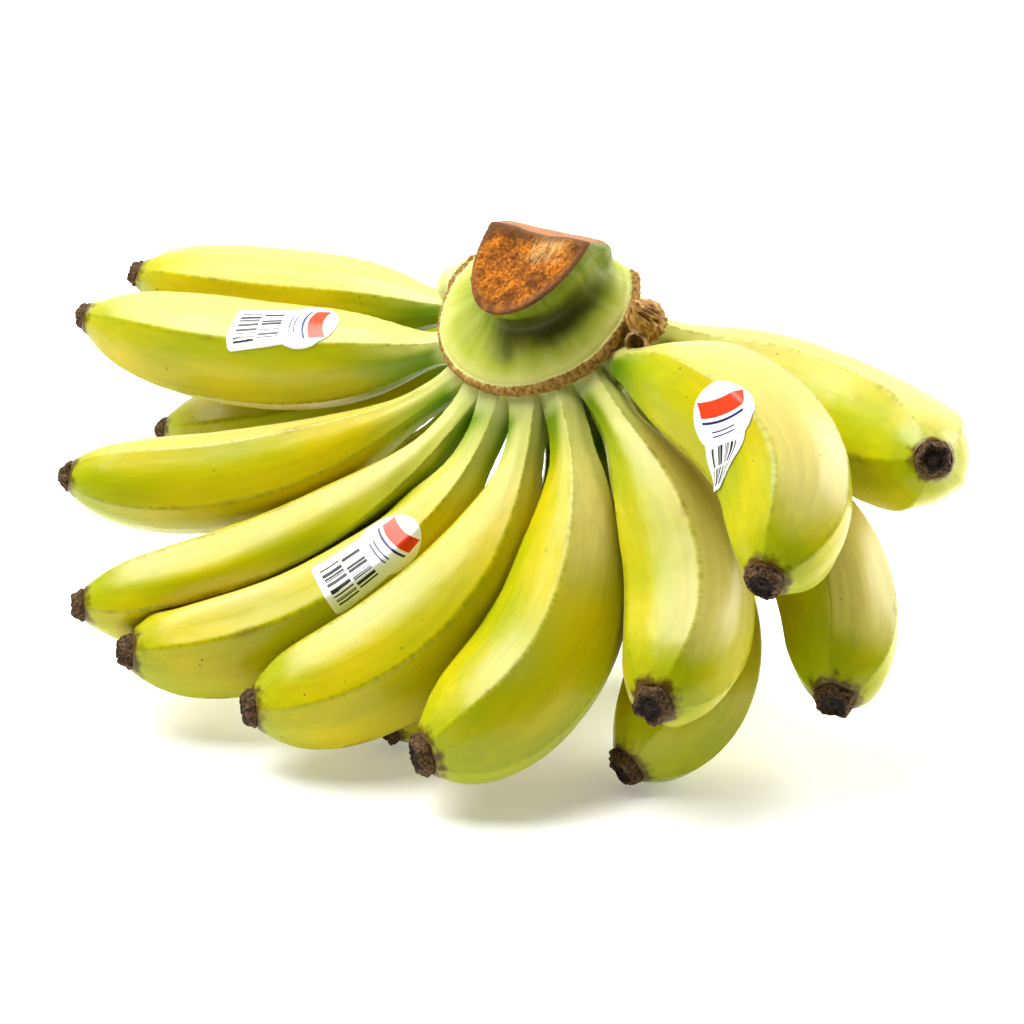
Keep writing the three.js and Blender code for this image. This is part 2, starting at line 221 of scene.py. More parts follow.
def makeStudio():
    plan = studioPlan
    scene = bpy.context.scene
    scene.view_settings.view_transform = "Standard"
    scene.view_settings.look = "Medium High Contrast"
    world = bpy.data.worlds.new("studio")
    scene.world = world
    world.use_nodes = True
    tree = world.node_tree
    tree.nodes.clear()
    # the backdrop that the camera sees is white; what lights the fruit is dimmer towards the front
    seen = addNode(tree, "ShaderNodeLightPath")
    way = addNode(tree, "ShaderNodeTexCoord")
    axes = addNode(tree, "ShaderNodeSeparateXYZ", {}, {0: (way, "Generated")})
    low, high = plan["fillTurn"]
    strength = addNode(tree, "ShaderNodeMapRange",
                       soft | {1: low, 2: high, 3: plan["fillFront"], 4: plan["fillBack"]}, {0: (axes, 1)})
    fill = addNode(tree, "ShaderNodeBackground", {"Color": (1, 1, 1, 1)}, {"Strength": strength})
    backdrop = addNode(tree, "ShaderNodeBackground", {"Color": (1, 1, 1, 1), "Strength": 1.0})
    both = addNode(tree, "ShaderNodeMixShader", {}, {0: (seen, "Is Camera Ray"), 1: fill, 2: backdrop})
    addNode(tree, "ShaderNodeOutputWorld", {}, {"Surface": both})

    for name, (place, size, power) in plan["softboxes"].items():
        light = bpy.data.lights.new(name, "AREA")
        light.shape = "SQUARE"
        light.size = size
        light.energy = power
        box = bpy.data.objects.new(name, light)
        box.location = place
        aim = Vector(plan["aim"]) - Vector(place)
        box.rotation_euler = aim.to_track_quat("-Z", "Y").to_euler()
        scene.collection.objects.link(box)

    paper = bpy.data.materials.new("paperBackdropMatt")   # seamless paper: matt, no highlight
    paper.use_nodes = True
    shader = paper.node_tree.nodes["Principled BSDF"]
    shader.inputs["Base Color"].default_value = linear(plan["floorColour"])
    shader.inputs["Roughness"].default_value = 0.9
    shader.inputs["Specular IOR Level"].default_value = 0.1
    shader.inputs["Emission Color"].default_value = (1, 1, 1, 1)
    shader.inputs["Emission Strength"].default_value = plan["floorGlow"]
    bm = bmesh.new()
    bmesh.ops.create_grid(bm, x_segments=1, y_segments=1, size=plan["floorSide"] / 2)
    mesh = bpy.data.meshes.new("floor")
    bm.to_mesh(mesh)
    bm.free()
    mesh.materials.append(paper)
    floor = bpy.data.objects.new("floor", mesh)
    scene.collection.objects.link(floor)


makeStudio()
print("studio made")


def mergedCopy(nodeName):
    # a node's mesh is loose triangles, so a copy of it is joined up first
    bm = bmesh.new()
    bm.from_mesh(nodes[nodeName].data)
    bmesh.ops.remove_doubles(bm, verts=bm.verts, dist=0.001 * mm)
    bm.verts.index_update()
    return bm


def newPiece(name, mesh, material, replaced=()):
    piece = bpy.data.objects.new(name, mesh)
    bpy.context.scene.collection.objects.link(piece)
    mesh.materials.clear()
    mesh.materials.append(material)
    mesh.shade_smooth()
    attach(piece, "root")
    if replaced:
        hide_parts(*replaced)
    return piece


def meshFrom(bm, name, kind, **settings):
    # the bmesh as a mesh, after one modifier
    mesh = bpy.data.meshes.new(name)
    bm.to_mesh(mesh)
    helper = bpy.data.objects.new(name + "Helper", mesh)
    bpy.context.scene.collection.objects.link(helper)
    modifier = helper.modifiers.new(kind.lower(), kind)
    for key, value in settings.items():
        setattr(modifier, key, value)
    depsgraph = bpy.context.evaluated_depsgraph_get()
    made = bpy.data.meshes.new_from_object(
        helper.evaluated_get(depsgraph), preserve_all_data_layers=True, depsgraph=depsgraph)
    made.name = name
    bpy.data.objects.remove(helper)
    bpy.data.meshes.remove(mesh)
    return made


def movePoints(mesh, places):
    # all at once, because reading a normal after a single move works every normal out again
    mesh.vertices.foreach_set("co", [c for place in places for c in place])
    mesh.update()


def newAttributes(mesh, placeName, *names):
    # a place and some numbers for every point of a mesh, all made before any is filled
    mesh.attributes.new(placeName, "FLOAT_VECTOR", "POINT")
    for name in names:
        mesh.attributes.new(name, "FLOAT", "POINT")
    return {name: mesh.attributes[name].data for name in (placeName, *names)}


def remeshed(bm, name, voxel, smoothing):
    # the bmesh as one closed skin of small squares, smoothed between two heights over the bract scar,
    # in millimetres, for a number of rounds
    joined = meshFrom(bm, name + "Joined", "REMESH", mode="VOXEL", voxel_size=voxel)
    bm.free()
    bm = bmesh.new()
    bm.from_mesh(joined)
    bpy.data.meshes.remove(joined)
    height = {v: (toStalk @ v.co).z for v in bm.verts}
    for lowest, highest, rounds in smoothing:
        chosen = [v for v in bm.verts if lowest * mm < height[v] < highest * mm]
        for _ in range(rounds):
            bmesh.ops.smooth_vert(bm, verts=chosen, factor=0.5,
                                  use_axis_x=True, use_axis_y=True, use_axis_z=True)
    mesh = bpy.data.meshes.new(name)
    bm.to_mesh(mesh)
    bm.free()
    return mesh


def keptInBox(point):
    # the dressed part stays inside the solids' own box
    low, high = cadBox
    return Vector(min(high[i], max(low[i], point[i])) for i in range(3))


# The skin of a finger: five soft corners with flat faces between, drawn on the frame's own rings.
fingerPlan = {
    "columns": 15,
    "cornerEvery": 3,
    "bodyRings": (6, 14),      # the rings that tell which columns are the corners
    "cornerCrease": 0.85,
    "creaseFull": 0.12,        # share of the length over which the crease comes in
    "cornerRise": 0.42 * mm,
    "levels": 3,
    "fitRounds": 3,
    "footDepth": 3.0 * mm,     # how far the foot runs into the crown
    "lipRing": 16,             # the last ring of green skin, where the dry flower end sits
    "lip": ((0.8, 0.3 * mm), (0.5, -0.8 * mm)),   # size and height of the two rings inside it
    "lipDepth": 1.2 * mm,
    "waves": 0.30 * mm,
    "waveLength": 13 * mm,
    "dents": 0.07 * mm,
    "dentLength": 3.4 * mm,
    "wrinkles": 0.14 * mm,     # across the corners, towards the stalk
    "wrinkleLength": 1.5 * mm,
    "wrinkleAlong": (0.04, 0.1, 0.45),        # shares of the length: start, full until, gone
    "patternStep": 0.37,       # metres from one finger's pattern to the next, so that no two match
    "lightSide": Vector((0.35, 0.0, 0.94)),   # the way that the lit side faces, where the peel's colour is painted paler as a painted highlight
}
fingerNames = sorted(n for n in nodes if n.startswith("finger_"))
fingerShapes = {}


def inOrder(verts):
    left = set(verts[1:])
    order = [verts[0]]
    while left:
        last = order[-1]
        order.append(next(v for v in (e.other_vert(last) for e in last.link_edges) if v in left))
        left.remove(order[-1])
    return order


def alignedTo(previous, ring):
    count = len(ring)
    ways = (ring, ring[::-1])
    tries = [[way[(i + s) % count] for i in range(count)] for way in ways for s in range(count)]
    return min(tries, key=lambda r: sum((a.co - b.co).length_squared for a, b in zip(previous, r)))


def ringsOf(bm):
    # the rings of points from the foot to the flower end, each in the same order, a corner first
    columns = fingerPlan["columns"]
    foot, tip = sorted((v for v in bm.verts if len(v.link_edges) == columns),
                       key=lambda v: (v.co - scarMiddle).length)
    rings, seen, front = [], {foot}, [foot]
    while True:
        front = sorted({e.other_vert(v) for v in front for e in v.link_edges} - seen, key=lambda v: v.index)
        if front == [tip]:
            break
        seen.update(front)
        ring = inOrder(front)
        rings.append(alignedTo(rings[-1], ring) if rings else ring)
    every = fingerPlan["cornerEvery"]
    start, stop = fingerPlan["bodyRings"]

    def reach(first):
        total = 0
        for ring in rings[start:stop]:
            middle = middleOf([v.co for v in ring])
            total += sum((v.co - middle).length for v in ring[first::every])
        return total

    first = max(range(every), key=reach)
    return foot, [ring[first:] + ring[:first] for ring in rings], tip


def readFinger(name):
    # a finger's rings as points to shape, with their places and girths kept in fingerShapes
    bm = mergedCopy(name)
    bm.verts.layers.float_vector.new("straight")
    bm.verts.layers.float.new("along")
    bm.verts.layers.float.new("corner")
    bm.edges.layers.float.new("crease_edge")
    foot, rings, tip = ringsOf(bm)
    middles = [middleOf([v.co for v in ring]) for ring in rings]
    places = [0.0]
    for a, b in zip(middles, middles[1:]):
        places.append(places[-1] + (b - a).length)
    girths = [sum((v.co - m).length for v in ring) / len(ring) for ring, m in zip(rings, middles)]
    fingerShapes[name] = {
        "rings": [[v.co.copy() for v in ring] for ring in rings],
        "middles": middles,
        "places": places,
        "girths": girths,
        "tip": tip.co.copy(),
    }
    return bm, foot, rings, tip


def fingerSkin(name, number, material):
    plan = fingerPlan
    bm, foot, rings, tip = readFinger(name)
    shape = fingerShapes[name]
    columns, every, lip = plan["columns"], plan["cornerEvery"], plan["lipRing"]

    # the foot runs on into the crown, and the other end closes in a lip round the dry flower end
    inwards = (shape["middles"][0] - shape["middles"][1]).normalized() * plan["footDepth"]
    bmesh.ops.translate(bm, verts=rings[0] + [foot], vec=inwards)
    lipMiddle = shape["middles"][lip]
    outwards = (shape["tip"] - lipMiddle).normalized()
    for ring, (size, depth) in zip(rings[lip + 1:], plan["lip"]):
        for vert, own in zip(ring, rings[lip]):
            vert.co = lipMiddle + (own.co - lipMiddle) * size + outwards * depth
    tip.co = lipMiddle - outwards * plan["lipDepth"]

    # straight is each point's place on the finger laid out straight, which the peel's patterns read
    straight = bm.verts.layers.float_vector["straight"]
    along = bm.verts.layers.float["along"]
    corner = bm.verts.layers.float["corner"]
    crease = bm.edges.layers.float["crease_edge"]
    length = shape["places"][-1]
    apart = number * plan["patternStep"]
    for k, ring in enumerate(rings):
        girth = shape["girths"][min(k, lip)]
        for i, vert in enumerate(ring):
            a = 2 * math.pi * i / columns
            vert[straight] = (girth * math.cos(a), girth * math.sin(a), shape["places"][k] + apart)
            vert[along] = shape["places"][k] / length
            vert[corner] = 1.0 if i % every == 0 else 0.0
    foot[straight] = (0, 0, apart)
    tip[straight] = (0, 0, length + apart)
    tip[along] = 1.0

    # the corners are creased, and the slanted edges of the triangles go
    slanted = []
    for ring, ahead in zip(rings, rings[1:]):
        for i, vert in enumerate(ring):
            for edge in vert.link_edges:
                other = edge.other_vert(vert)
                if other is ahead[i] and i % every == 0:
                    edge[crease] = plan["cornerCrease"] * smoothStep(0, plan["creaseFull"], vert[along])
                elif other in ahead and other is not ahead[i]:
                    slanted.append(edge)
    bmesh.ops.dissolve_edges(bm, edges=slanted, use_verts=False)
    bmesh.ops.recalc_face_normals(bm, faces=bm.faces)

    # the cage is pushed out until the smoothed skin has the solid's girth again
    wanted = [v.co.copy() for v in bm.verts]
    for _ in range(plan["fitRounds"]):
        trial = meshFrom(bm, name, "SUBSURF", levels=1, render_levels=1)
        for i, vert in enumerate(bm.verts):
            vert.co += wanted[i] - trial.vertices[i].co
        bpy.data.meshes.remove(trial)
    mesh = meshFrom(bm, name + "_skin", "SUBSURF", levels=plan["levels"], render_levels=plan["levels"])
    bm.free()
    shapeSkin(mesh)
    return newPiece(name + "_skin", mesh, material, [name])


def shapeSkin(mesh):
    # waves and dents of the skin, its corners, and the small wrinkles across them near the stalk
    plan = fingerPlan
    mesh.attributes.new("pale", "FLOAT", "POINT")
    names = ("straight", "along", "corner", "pale")
    straight, along, corner, pale = (mesh.attributes[name].data for name in names)
    wrinkleStart, wrinkleFull, wrinkleGone = plan["wrinkleAlong"]
    moved = []
    for i, vert in enumerate(mesh.vertices):
        s, share, edge = straight[i].vector, along[i].value, corner[i].value
        # pale is how squarely the point faces the light, for the peel's painted highlight and the painted
        # shade of its necks
        pale[i].value = vert.normal.dot(plan["lightSide"])
        wave = noiseAt(s, (1, 1, 0.5), plan["waveLength"]) - 0.35
        dent = noiseAt(s, (1, 1, 0.6), plan["dentLength"])
        wrinkle = noiseAt(s, (0.3, 0.3, 1), plan["wrinkleLength"]) * smoothStep(0.55, 1.0, edge)
        near = smoothStep(wrinkleGone, wrinkleFull, share) if share > wrinkleStart else 0
        rise = (edge ** 2 - 0.4) * smoothStep(1.0, 0.8, share)
        shift = plan["waves"] * wave + plan["dents"] * dent + plan["wrinkles"] * wrinkle * near
        shift += plan["cornerRise"] * rise
        moved.append(keptInBox(vert.co + vert.normal * shift))
    movePoints(mesh, moved)


# Colours of the peel, in sRGB.
peelColours = {
    "yellow": "#cfbe02",
    "green": "#aab004",
    # painted highlight, on the side that faces the light
    "paintedLitSide": "#dccc84",
    # painted shade and painted light of the necks
    "neckInShade": "#6a920a",
    "neckInLight": "#d9da80",
    "flowerEnd": "#98a50c",
    "foot": "#dbdd98",
    "cornerLine": "#939f08",
    "rub": "#8f7526",
    "speck": "#6a5216",
    "dryEdge": "#5f4a12",
}


def peelMaterial():
    # banana peel, grown: waxy satin skin, fibrous along its length, painted paler on the side that faces the
    # light as a painted highlight
    material, tree = newMaterial("bananaPeelWaxySkin")
    paint = {name: linear(colour) for name, colour in peelColours.items()}
    straight, along, corner, pale = (
        addNode(tree, "ShaderNodeAttribute", {"attribute_name": name})
        for name in ("straight", "along", "corner", "pale"))

    # broad patches of yellower and greener skin, about 20 mm wide and longer than that
    broadPlace = addNode(tree, "ShaderNodeMapping", {"Scale": (1, 1, 0.4)},
                         {"Vector": (straight, "Vector")})
    broad = addNode(tree, "ShaderNodeTexNoise", {"Scale": 1 / (20 * mm), "Detail": 2.0},
                    {"Vector": broadPlace})
    patches = addNode(tree, "ShaderNodeMapRange", {1: 0.35, 2: 0.65, 3: 0.0, 4: 1.0}, {0: broad})
    body = addNode(tree, "ShaderNodeMix", rgba | {6: paint["yellow"], 7: paint["green"]}, {0: patches})

    # painted highlight: a paler, creamier colour on the side that faces the light
    litSideEdge = addNode(tree, "ShaderNodeMath", {"operation": "MULTIPLY_ADD", 1: 0.5},
                       {0: broad, 2: (pale, "Fac")})
    paintedLitSide = addNode(tree, "ShaderNodeMapRange", soft | {1: 0.75, 2: 1.15, 3: 0.0, 4: 0.7}, {0: litSideEdge})
    sided = addNode(tree, "ShaderNodeMix", rgba | {7: paint["paintedLitSide"]}, {0: paintedLitSide, 6: body})

    # greener towards the stalk and round the flower end, with painted shade and painted light on the necks,
    # and pale where it leaves the crown
    neck = addNode(tree, "ShaderNodeMapRange", soft | {1: 0.04, 2: 0.27, 3: 0.9, 4: 0.0},
                   {0: (along, "Fac")})
    # painted shade and painted light: the neck dark green where it faces away from the light, cream where it
    # faces it
    shade = addNode(tree, "ShaderNodeMapRange", soft | {1: 0.10, 2: 0.5, 3: 0.0, 4: 1.0},
                    {0: (pale, "Fac")})
    neckColour = addNode(tree, "ShaderNodeMix", rgba | {6: paint["neckInShade"], 7: paint["neckInLight"]},
                         {0: shade})
    neckGreen = addNode(tree, "ShaderNodeMix", rgba, {0: neck, 6: sided, 7: neckColour})
    end = addNode(tree, "ShaderNodeMapRange", soft | {1: 0.84, 2: 0.97, 3: 0.0, 4: 0.6},
                  {0: (along, "Fac")})
    endGreen = addNode(tree, "ShaderNodeMix", rgba | {7: paint["flowerEnd"]}, {0: end, 6: neckGreen})

    footPale = addNode(tree, "ShaderNodeMapRange", soft | {1: 0.01, 2: 0.055, 3: 0.8, 4: 0.0},
                       {0: (along, "Fac")})
    footed = addNode(tree, "ShaderNodeMix", rgba | {7: paint["foot"]}, {0: footPale, 6: endGreen})

    # a thin greener line on each corner, broken across in ticks about 1.4 mm apart
    tickPlace = addNode(tree, "ShaderNodeMapping", {"Scale": (0.25, 0.25, 1)},
                        {"Vector": (straight, "Vector")})
    ticks = addNode(tree, "ShaderNodeTexNoise", {"Scale": 1 / (1.4 * mm), "Detail": 2.0},
                    {"Vector": tickPlace})
    tickCut = addNode(tree, "ShaderNodeMapRange", {1: 0.45, 2: 0.6, 3: 0.1, 4: 1.0}, {0: ticks})
    line = addNode(tree, "ShaderNodeMapRange", soft | {1: 0.8, 2: 0.98, 3: 0.0, 4: 0.6},
                   {0: (corner, "Fac")})
    lineTicks = addNode(tree, "ShaderNodeMath", {"operation": "MULTIPLY"}, {0: line, 1: tickCut})
    lined = addNode(tree, "ShaderNodeMix", rgba | {7: paint["cornerLine"]}, {0: lineTicks, 6: footed})

    # brown rubs where a corner has touched something, in runs about 15 mm long
    rubPlace = addNode(tree, "ShaderNodeMapping", {"Scale": (1, 1, 0.4)}, {"Vector": (straight, "Vector")})
    rubs = addNode(tree, "ShaderNodeTexNoise", {"Scale": 1 / (6 * mm), "Detail": 5.0, "Roughness": 0.7},
                   {"Vector": rubPlace})
    rubCut = addNode(tree, "ShaderNodeMapRange", {1: 0.56, 2: 0.66, 3: 0.0, 4: 0.55}, {0: rubs})
    rubCorner = addNode(tree, "ShaderNodeMapRange", soft | {1: 0.7, 2: 0.95, 3: 0.06, 4: 1.0},
                        {0: (corner, "Fac")})
    rubMask = addNode(tree, "ShaderNodeMath", {"operation": "MULTIPLY"}, {0: rubCut, 1: rubCorner})
    rubbed = addNode(tree, "ShaderNodeMix", rgba | {7: paint["rub"]}, {0: rubMask, 6: lined})

    # fibres under the skin, 0.8 mm apart and long
    fibrePlace = addNode(tree, "ShaderNodeMapping", {"Scale": (1, 1, 0.03)},
                         {"Vector": (straight, "Vector")})
    fibres = addNode(tree, "ShaderNodeTexNoise", {"Scale": 1 / (1.6 * mm), "Detail": 3.0},
                     {"Vector": fibrePlace})
    fibreTone = addNode(tree, "ShaderNodeMapRange", {1: 0.3, 2: 0.7, 3: 0.93, 4: 1.05}, {0: fibres})
    toned = addNode(tree, "ShaderNodeMix", rgba | {"blend_type": "MULTIPLY", 0: 1.0},
                    {6: rubbed, 7: fibreTone})

    # brown specks less than 1 mm across, in drifts
    cells = addNode(tree, "ShaderNodeTexVoronoi", {"Scale": 1 / (4.5 * mm)},
                    {"Vector": (straight, "Vector")})
    dot = addNode(tree, "ShaderNodeMapRange", {1: 0.05, 2: 0.1, 3: 1.0, 4: 0.0}, {0: (cells, "Distance")})
    drift = addNode(tree, "ShaderNodeTexNoise", {"Scale": 1 / (14 * mm), "Detail": 2.0},
                    {"Vector": (straight, "Vector")})
    driftCut = addNode(tree, "ShaderNodeMapRange", {1: 0.52, 2: 0.66, 3: 0.0, 4: 0.75}, {0: drift})
    specks = addNode(tree, "ShaderNodeMath", {"operation": "MULTIPLY"}, {0: dot, 1: driftCut})
    specked = addNode(tree, "ShaderNodeMix", rgba | {7: paint["speck"]}, {0: specks, 6: toned})

    # the skin dries brown in the last millimetres before the flower end
    stain = addNode(tree, "ShaderNodeTexNoise", {"Scale": 1 / (2.5 * mm), "Detail": 3.0},
                    {"Vector": (straight, "Vector")})
    stainPlace = addNode(tree, "ShaderNodeMath", {"operation": "MULTIPLY_ADD", 1: 0.05},
                         {0: stain, 2: (along, "Fac")})
    dryEdge = addNode(tree, "ShaderNodeMapRange", soft | {1: 0.968, 2: 0.99, 3: 0.0, 4: 1.0},
                      {0: stainPlace})
    colour = addNode(tree, "ShaderNodeMix", rgba | {7: paint["dryEdge"]}, {0: dryEdge, 6: specked})

    fine = addNode(tree, "ShaderNodeTexNoise", {"Scale": 1 / (1.2 * mm), "Detail": 2.0},
                   {"Vector": (straight, "Vector")})
    gloss = addNode(tree, "ShaderNodeMapRange", {1: 0.3, 2: 0.7, 3: 0.27, 4: 0.37}, {0: fine})
    relief = addNode(tree, "ShaderNodeMath", {"operation": "MULTIPLY_ADD", 1: 0.5}, {0: fine, 2: fibres})
    bump = addNode(tree, "ShaderNodeBump", {"Strength": 0.35, "Distance": 0.1 * mm}, {"Height": relief})
    shader = addNode(tree, "ShaderNodeBsdfPrincipled",
                     {"IOR": 1.43, "Sheen Weight": 0.1, "Sheen Roughness": 0.3},
                     {"Base Color": colour, "Roughness": gloss, "Normal": bump})
    addNode(tree, "ShaderNodeOutputMaterial", {}, {"Surface": shader})
    return material


# The crown: cushion, bract scar and stub of the stalk as one grown piece, with the finger feet in it.
crownPlan = {
    "voxel": 0.65 * mm,
    # the feet melt into the cushion, while the cut faces stay crisp: from, to, rounds
    "smoothing": ((-99, -4.0, 9), (-99, 18.5, 4), (-99, 99, 2)),
    "footSizes": (0.98, 0.90),   # of the finger's own girth, ring by ring
    "footDepth": 4.0 * mm,
    "lobe": ((-3, -30.5, -3.5), 5.2 * mm),   # the swollen foot of the first lower finger
    # the scar is a thin line at the fan's first finger and widens to its blunt other end
    "scarReach": (24 * mm, 29.6 * mm),       # distances from the axis between which it lies
    "scarHalfWidth": (1.1 * mm, 2.2 * mm),
    "scarTurn": (-1.0, 1.7),                 # radians round the axis over which it widens
    "scarWander": 0.35 * mm,
    "scarRise": 0.55 * mm,
    "scarGroove": 0.25 * mm,
    "flutes": 0.16 * mm,
    "fluteHeights": (2 * mm, 4.5 * mm, 9 * mm, 13 * mm),
    "bulge": 0.9 * mm,           # of the dome over the scar
    "bulgeHeights": (1.5 * mm, 3.5 * mm, 4.5 * mm, 9 * mm),
    "waist": 2.3 * mm,           # how far the stub draws in between the dome and its cut end
    "waistHeights": (5 * mm, 11 * mm, 13 * mm, 18.5 * mm),
    "cutReach": (27 * mm, 18 * mm, 15.6 * mm),   # of the cut face: to the fan, to the back, across
    "cutRough": 0.45 * mm,
    "knifeRough": 0.12 * mm,
    "dip": 1.3 * mm,             # of the edge between the two cut faces, beside its highest corner
    "dipDepth": 7 * mm,
    "dipSides": (-7 * mm, -2 * mm, 4 * mm, 12 * mm),
    # the face that the knife left: x and z of its bends
    "knife": ((-6.5, 24), (-10.5, 20.5), (-15, 16), (-17.2, 11), (-17.6, 0), (-18.6, -12), (-21, -24),
              (-25, -36)),
    "knifeSlope": 0.8,           # turns a distance along x into one square to that face
    "waistShadeWay": (0.68, 0.73, 0),            # the way that the middle of the painted shade under the cut end faces
    "waistShadeHeights": (9 * mm, 12 * mm, 15 * mm, 19.5 * mm),
    "waistShadeStrength": 0.85,
    "tuft": (-7 * mm, 7 * mm, 20.5 * mm),    # where the pulled fibres are thickest
    "tuftReach": (2 * mm, 11 * mm),
}


def fingerFoot(name):
    # the first rings of a finger, set deep in the crown, as a closed mesh
    bm, foot, rings, tip = readFinger(name)
    sizes = crownPlan["footSizes"]
    middles = fingerShapes[name]["middles"]
    bmesh.ops.delete(bm, geom=[tip] + [v for ring in rings[len(sizes):] for v in ring], context="VERTS")
    bmesh.ops.holes_fill(bm, edges=[e for e in bm.edges if e.is_boundary], sides=0)
    for ring, middle, size in zip(rings, middles, sizes):
        bmesh.ops.scale(bm, vec=(size, size, size), space=Matrix.Translation(-middle), verts=ring)
    inwards = (middles[0] - middles[1]).normalized() * crownPlan["footDepth"]
    bmesh.ops.translate(bm, verts=rings[0] + [foot], vec=inwards)
    mesh = bpy.data.meshes.new(name + "Foot")
    bm.to_mesh(mesh)
    bm.free()
    return mesh


def knifeX(z):
    # x of the knife's face at a height over the scar, in the stalk's own axes
    bends = crownPlan["knife"]
    for (x0, z0), (x1, z1) in zip(bends, bends[1:]):
        if z >= z1 * mm or z1 == bends[-1][1]:
            return mm * (x0 + (x1 - x0) * (z / mm - z0) / (z1 - z0))


def crownBody(material):
    plan = crownPlan
    bm = mergedCopy("crown")
    for name in fingerNames:
        foot = fingerFoot(name)
        bm.from_mesh(foot)
        bpy.data.meshes.remove(foot)
    lobe, lobeRadius = plan["lobe"]
    bmesh.ops.create_uvsphere(bm, u_segments=24, v_segments=16, radius=lobeRadius,
                              matrix=Matrix.Translation(stalk @ (Vector(lobe) * mm)))
    bmesh.ops.recalc_face_normals(bm, faces=bm.faces)
    mesh = remeshed(bm, "crown_body", plan["voxel"], plan["smoothing"])
    carveCrown(mesh)
    return newPiece("crown_body", mesh, material, ["crown"])


def carveCrown(mesh):
    plan = crownPlan
    front, back, side = plan["cutReach"]
    middleX, middleY = stalkPlan["cutMiddle"]
    cutHeight = stalkPlan["cutHeight"]
    scarInner, scarOuter = plan["scarReach"]
    scarThin, scarWide = plan["scarHalfWidth"]
    layers = newAttributes(mesh, "stalk", "fromCut", "fromKnife", "fromRim", "fromScar")
    axes = stalk.to_3x3()
    moved = []
    for i, vert in enumerate(mesh.vertices):
        s = toStalk @ vert.co
        turn, reach = math.atan2(s.y, s.x), math.hypot(s.x, s.y)

        # distances from the cut end, the knife's face, the cut end's rim and the scar's edge
        fromCut = cutHeight - s.z
        fromKnife = (s.x - knifeX(s.z)) * plan["knifeSlope"]
        oval = math.hypot((s.x - middleX) / (front if s.x > middleX else back), (s.y - middleY) / side)
        fromRim = min((1 - oval) * side, s.x - knifeX(cutHeight))
        width = scarThin + (scarWide - scarThin) * smoothStep(*plan["scarTurn"], turn)
        wander = plan["scarWander"] * roundNoise(turn, 0, 4)
        onScar = scarInner < reach < scarOuter
        fromScar = abs(s.z - 0.2 * mm - wander) - width if onScar else 9 * mm
        if fromKnife < 0.6 * mm:
            fromScar = max(fromScar, 0.6 * mm - fromKnife)

        shift = Vector()
        if fromScar < 1.2 * mm:   # a corky bead with a groove beside it
            corky = noise.noise(s / (1.1 * mm))
            bead = plan["scarRise"] * smoothStep(0.5 * mm, -0.3 * mm, fromScar) * (1 + 0.6 * corky)
            groove = plan["scarGroove"] * hump(fromScar, -0.2 * mm, 0.4 * mm, 0.5 * mm, 1.2 * mm)
            shift += vert.normal * (bead - groove)
        fade = hump(s.z, *plan["fluteHeights"])
        if fade > 0:
            around = Vector((math.cos(turn), math.sin(turn), 0)) * 5
            ribs = noise.noise(around + Vector((0, 0, s.z / (30 * mm))))
            shift += vert.normal * plan["flutes"] * ribs * fade
        if fromKnife > 1 * mm:    # the dome swells and the stub draws in, from the stub's leaning middle
            outwards = axes @ Vector((s.x - middleX * s.z / cutHeight, s.y, 0)).normalized()
            bulge = plan["bulge"] * hump(s.z, *plan["bulgeHeights"])
            waist = plan["waist"] * hump(s.z, *plan["waistHeights"])
            shift += outwards * smoothStep(1 * mm, 6 * mm, fromKnife) * (bulge - waist)
        if fromCut < 1.0 * mm and fromRim > 0:   # sawn grain, with torn fibres on the upper half
            grain = noise.noise(s / (1.6 * mm)) + 0.6 * noise.noise(s / (0.8 * mm))
            torn = noise.noise(Vector((s.x / (9 * mm), s.y / (1.3 * mm), 3.1)))
            upper = smoothStep(6 * mm, -4 * mm, s.x)
            fade = smoothStep(0.0, 1.5 * mm, fromRim)
            shift += axes.col[2] * plan["cutRough"] * fade * (0.45 * grain + 0.5 * torn * upper - 0.35)
        elif fromKnife < 0.8 * mm:
            shift += vert.normal * plan["knifeRough"] * noiseAt(s, (1, 0.3, 1.6), 2.2 * mm)
        if fromCut < plan["dipDepth"]:
            dip = smoothStep(plan["dipDepth"], 0, fromCut) * smoothStep(14 * mm, 1 * mm, fromKnife)
            shift -= axes.col[2] * plan["dip"] * dip * hump(s.y, *plan["dipSides"])

        moved.append(keptInBox(vert.co + shift))
        layers["stalk"][i].vector = s
        layers["fromCut"][i].value = fromCut
        layers["fromKnife"][i].value = fromKnife
        layers["fromRim"][i].value = fromRim
        layers["fromScar"][i].value = fromScar
    movePoints(mesh, moved)


# Colours of the crown, in sRGB.
crownColours = {
    # the green skin, at shares of the way from 20 mm under the scar to 25 mm over it
    "skin": ((0.0, "#c4ca60"), (0.38, "#ccd07a"), (0.46, "#e6e2a4"), (0.56, "#d4d27c"), (0.64, "#a6ae38"),
             (0.72, "#748210"), (1.0, "#76830f")),
    "streak": "#dfdc94",
    # painted shade under the cut end
    "paintedWaistShade": "#3d3e12",
    "corkDark": "#7c5a1c",
    "corkPale": "#c09a58",
    "scarEdge": "#5d4a22",
    "knifePale": "#bb865c",
    "knifeDark": "#96663e",
    "rustDark": "#964806",
    "rustPale": "#d8901e",
    "thickSap": "#573008",
    "fibre": "#d6b67c",
    "rim": "#6f5238",
}


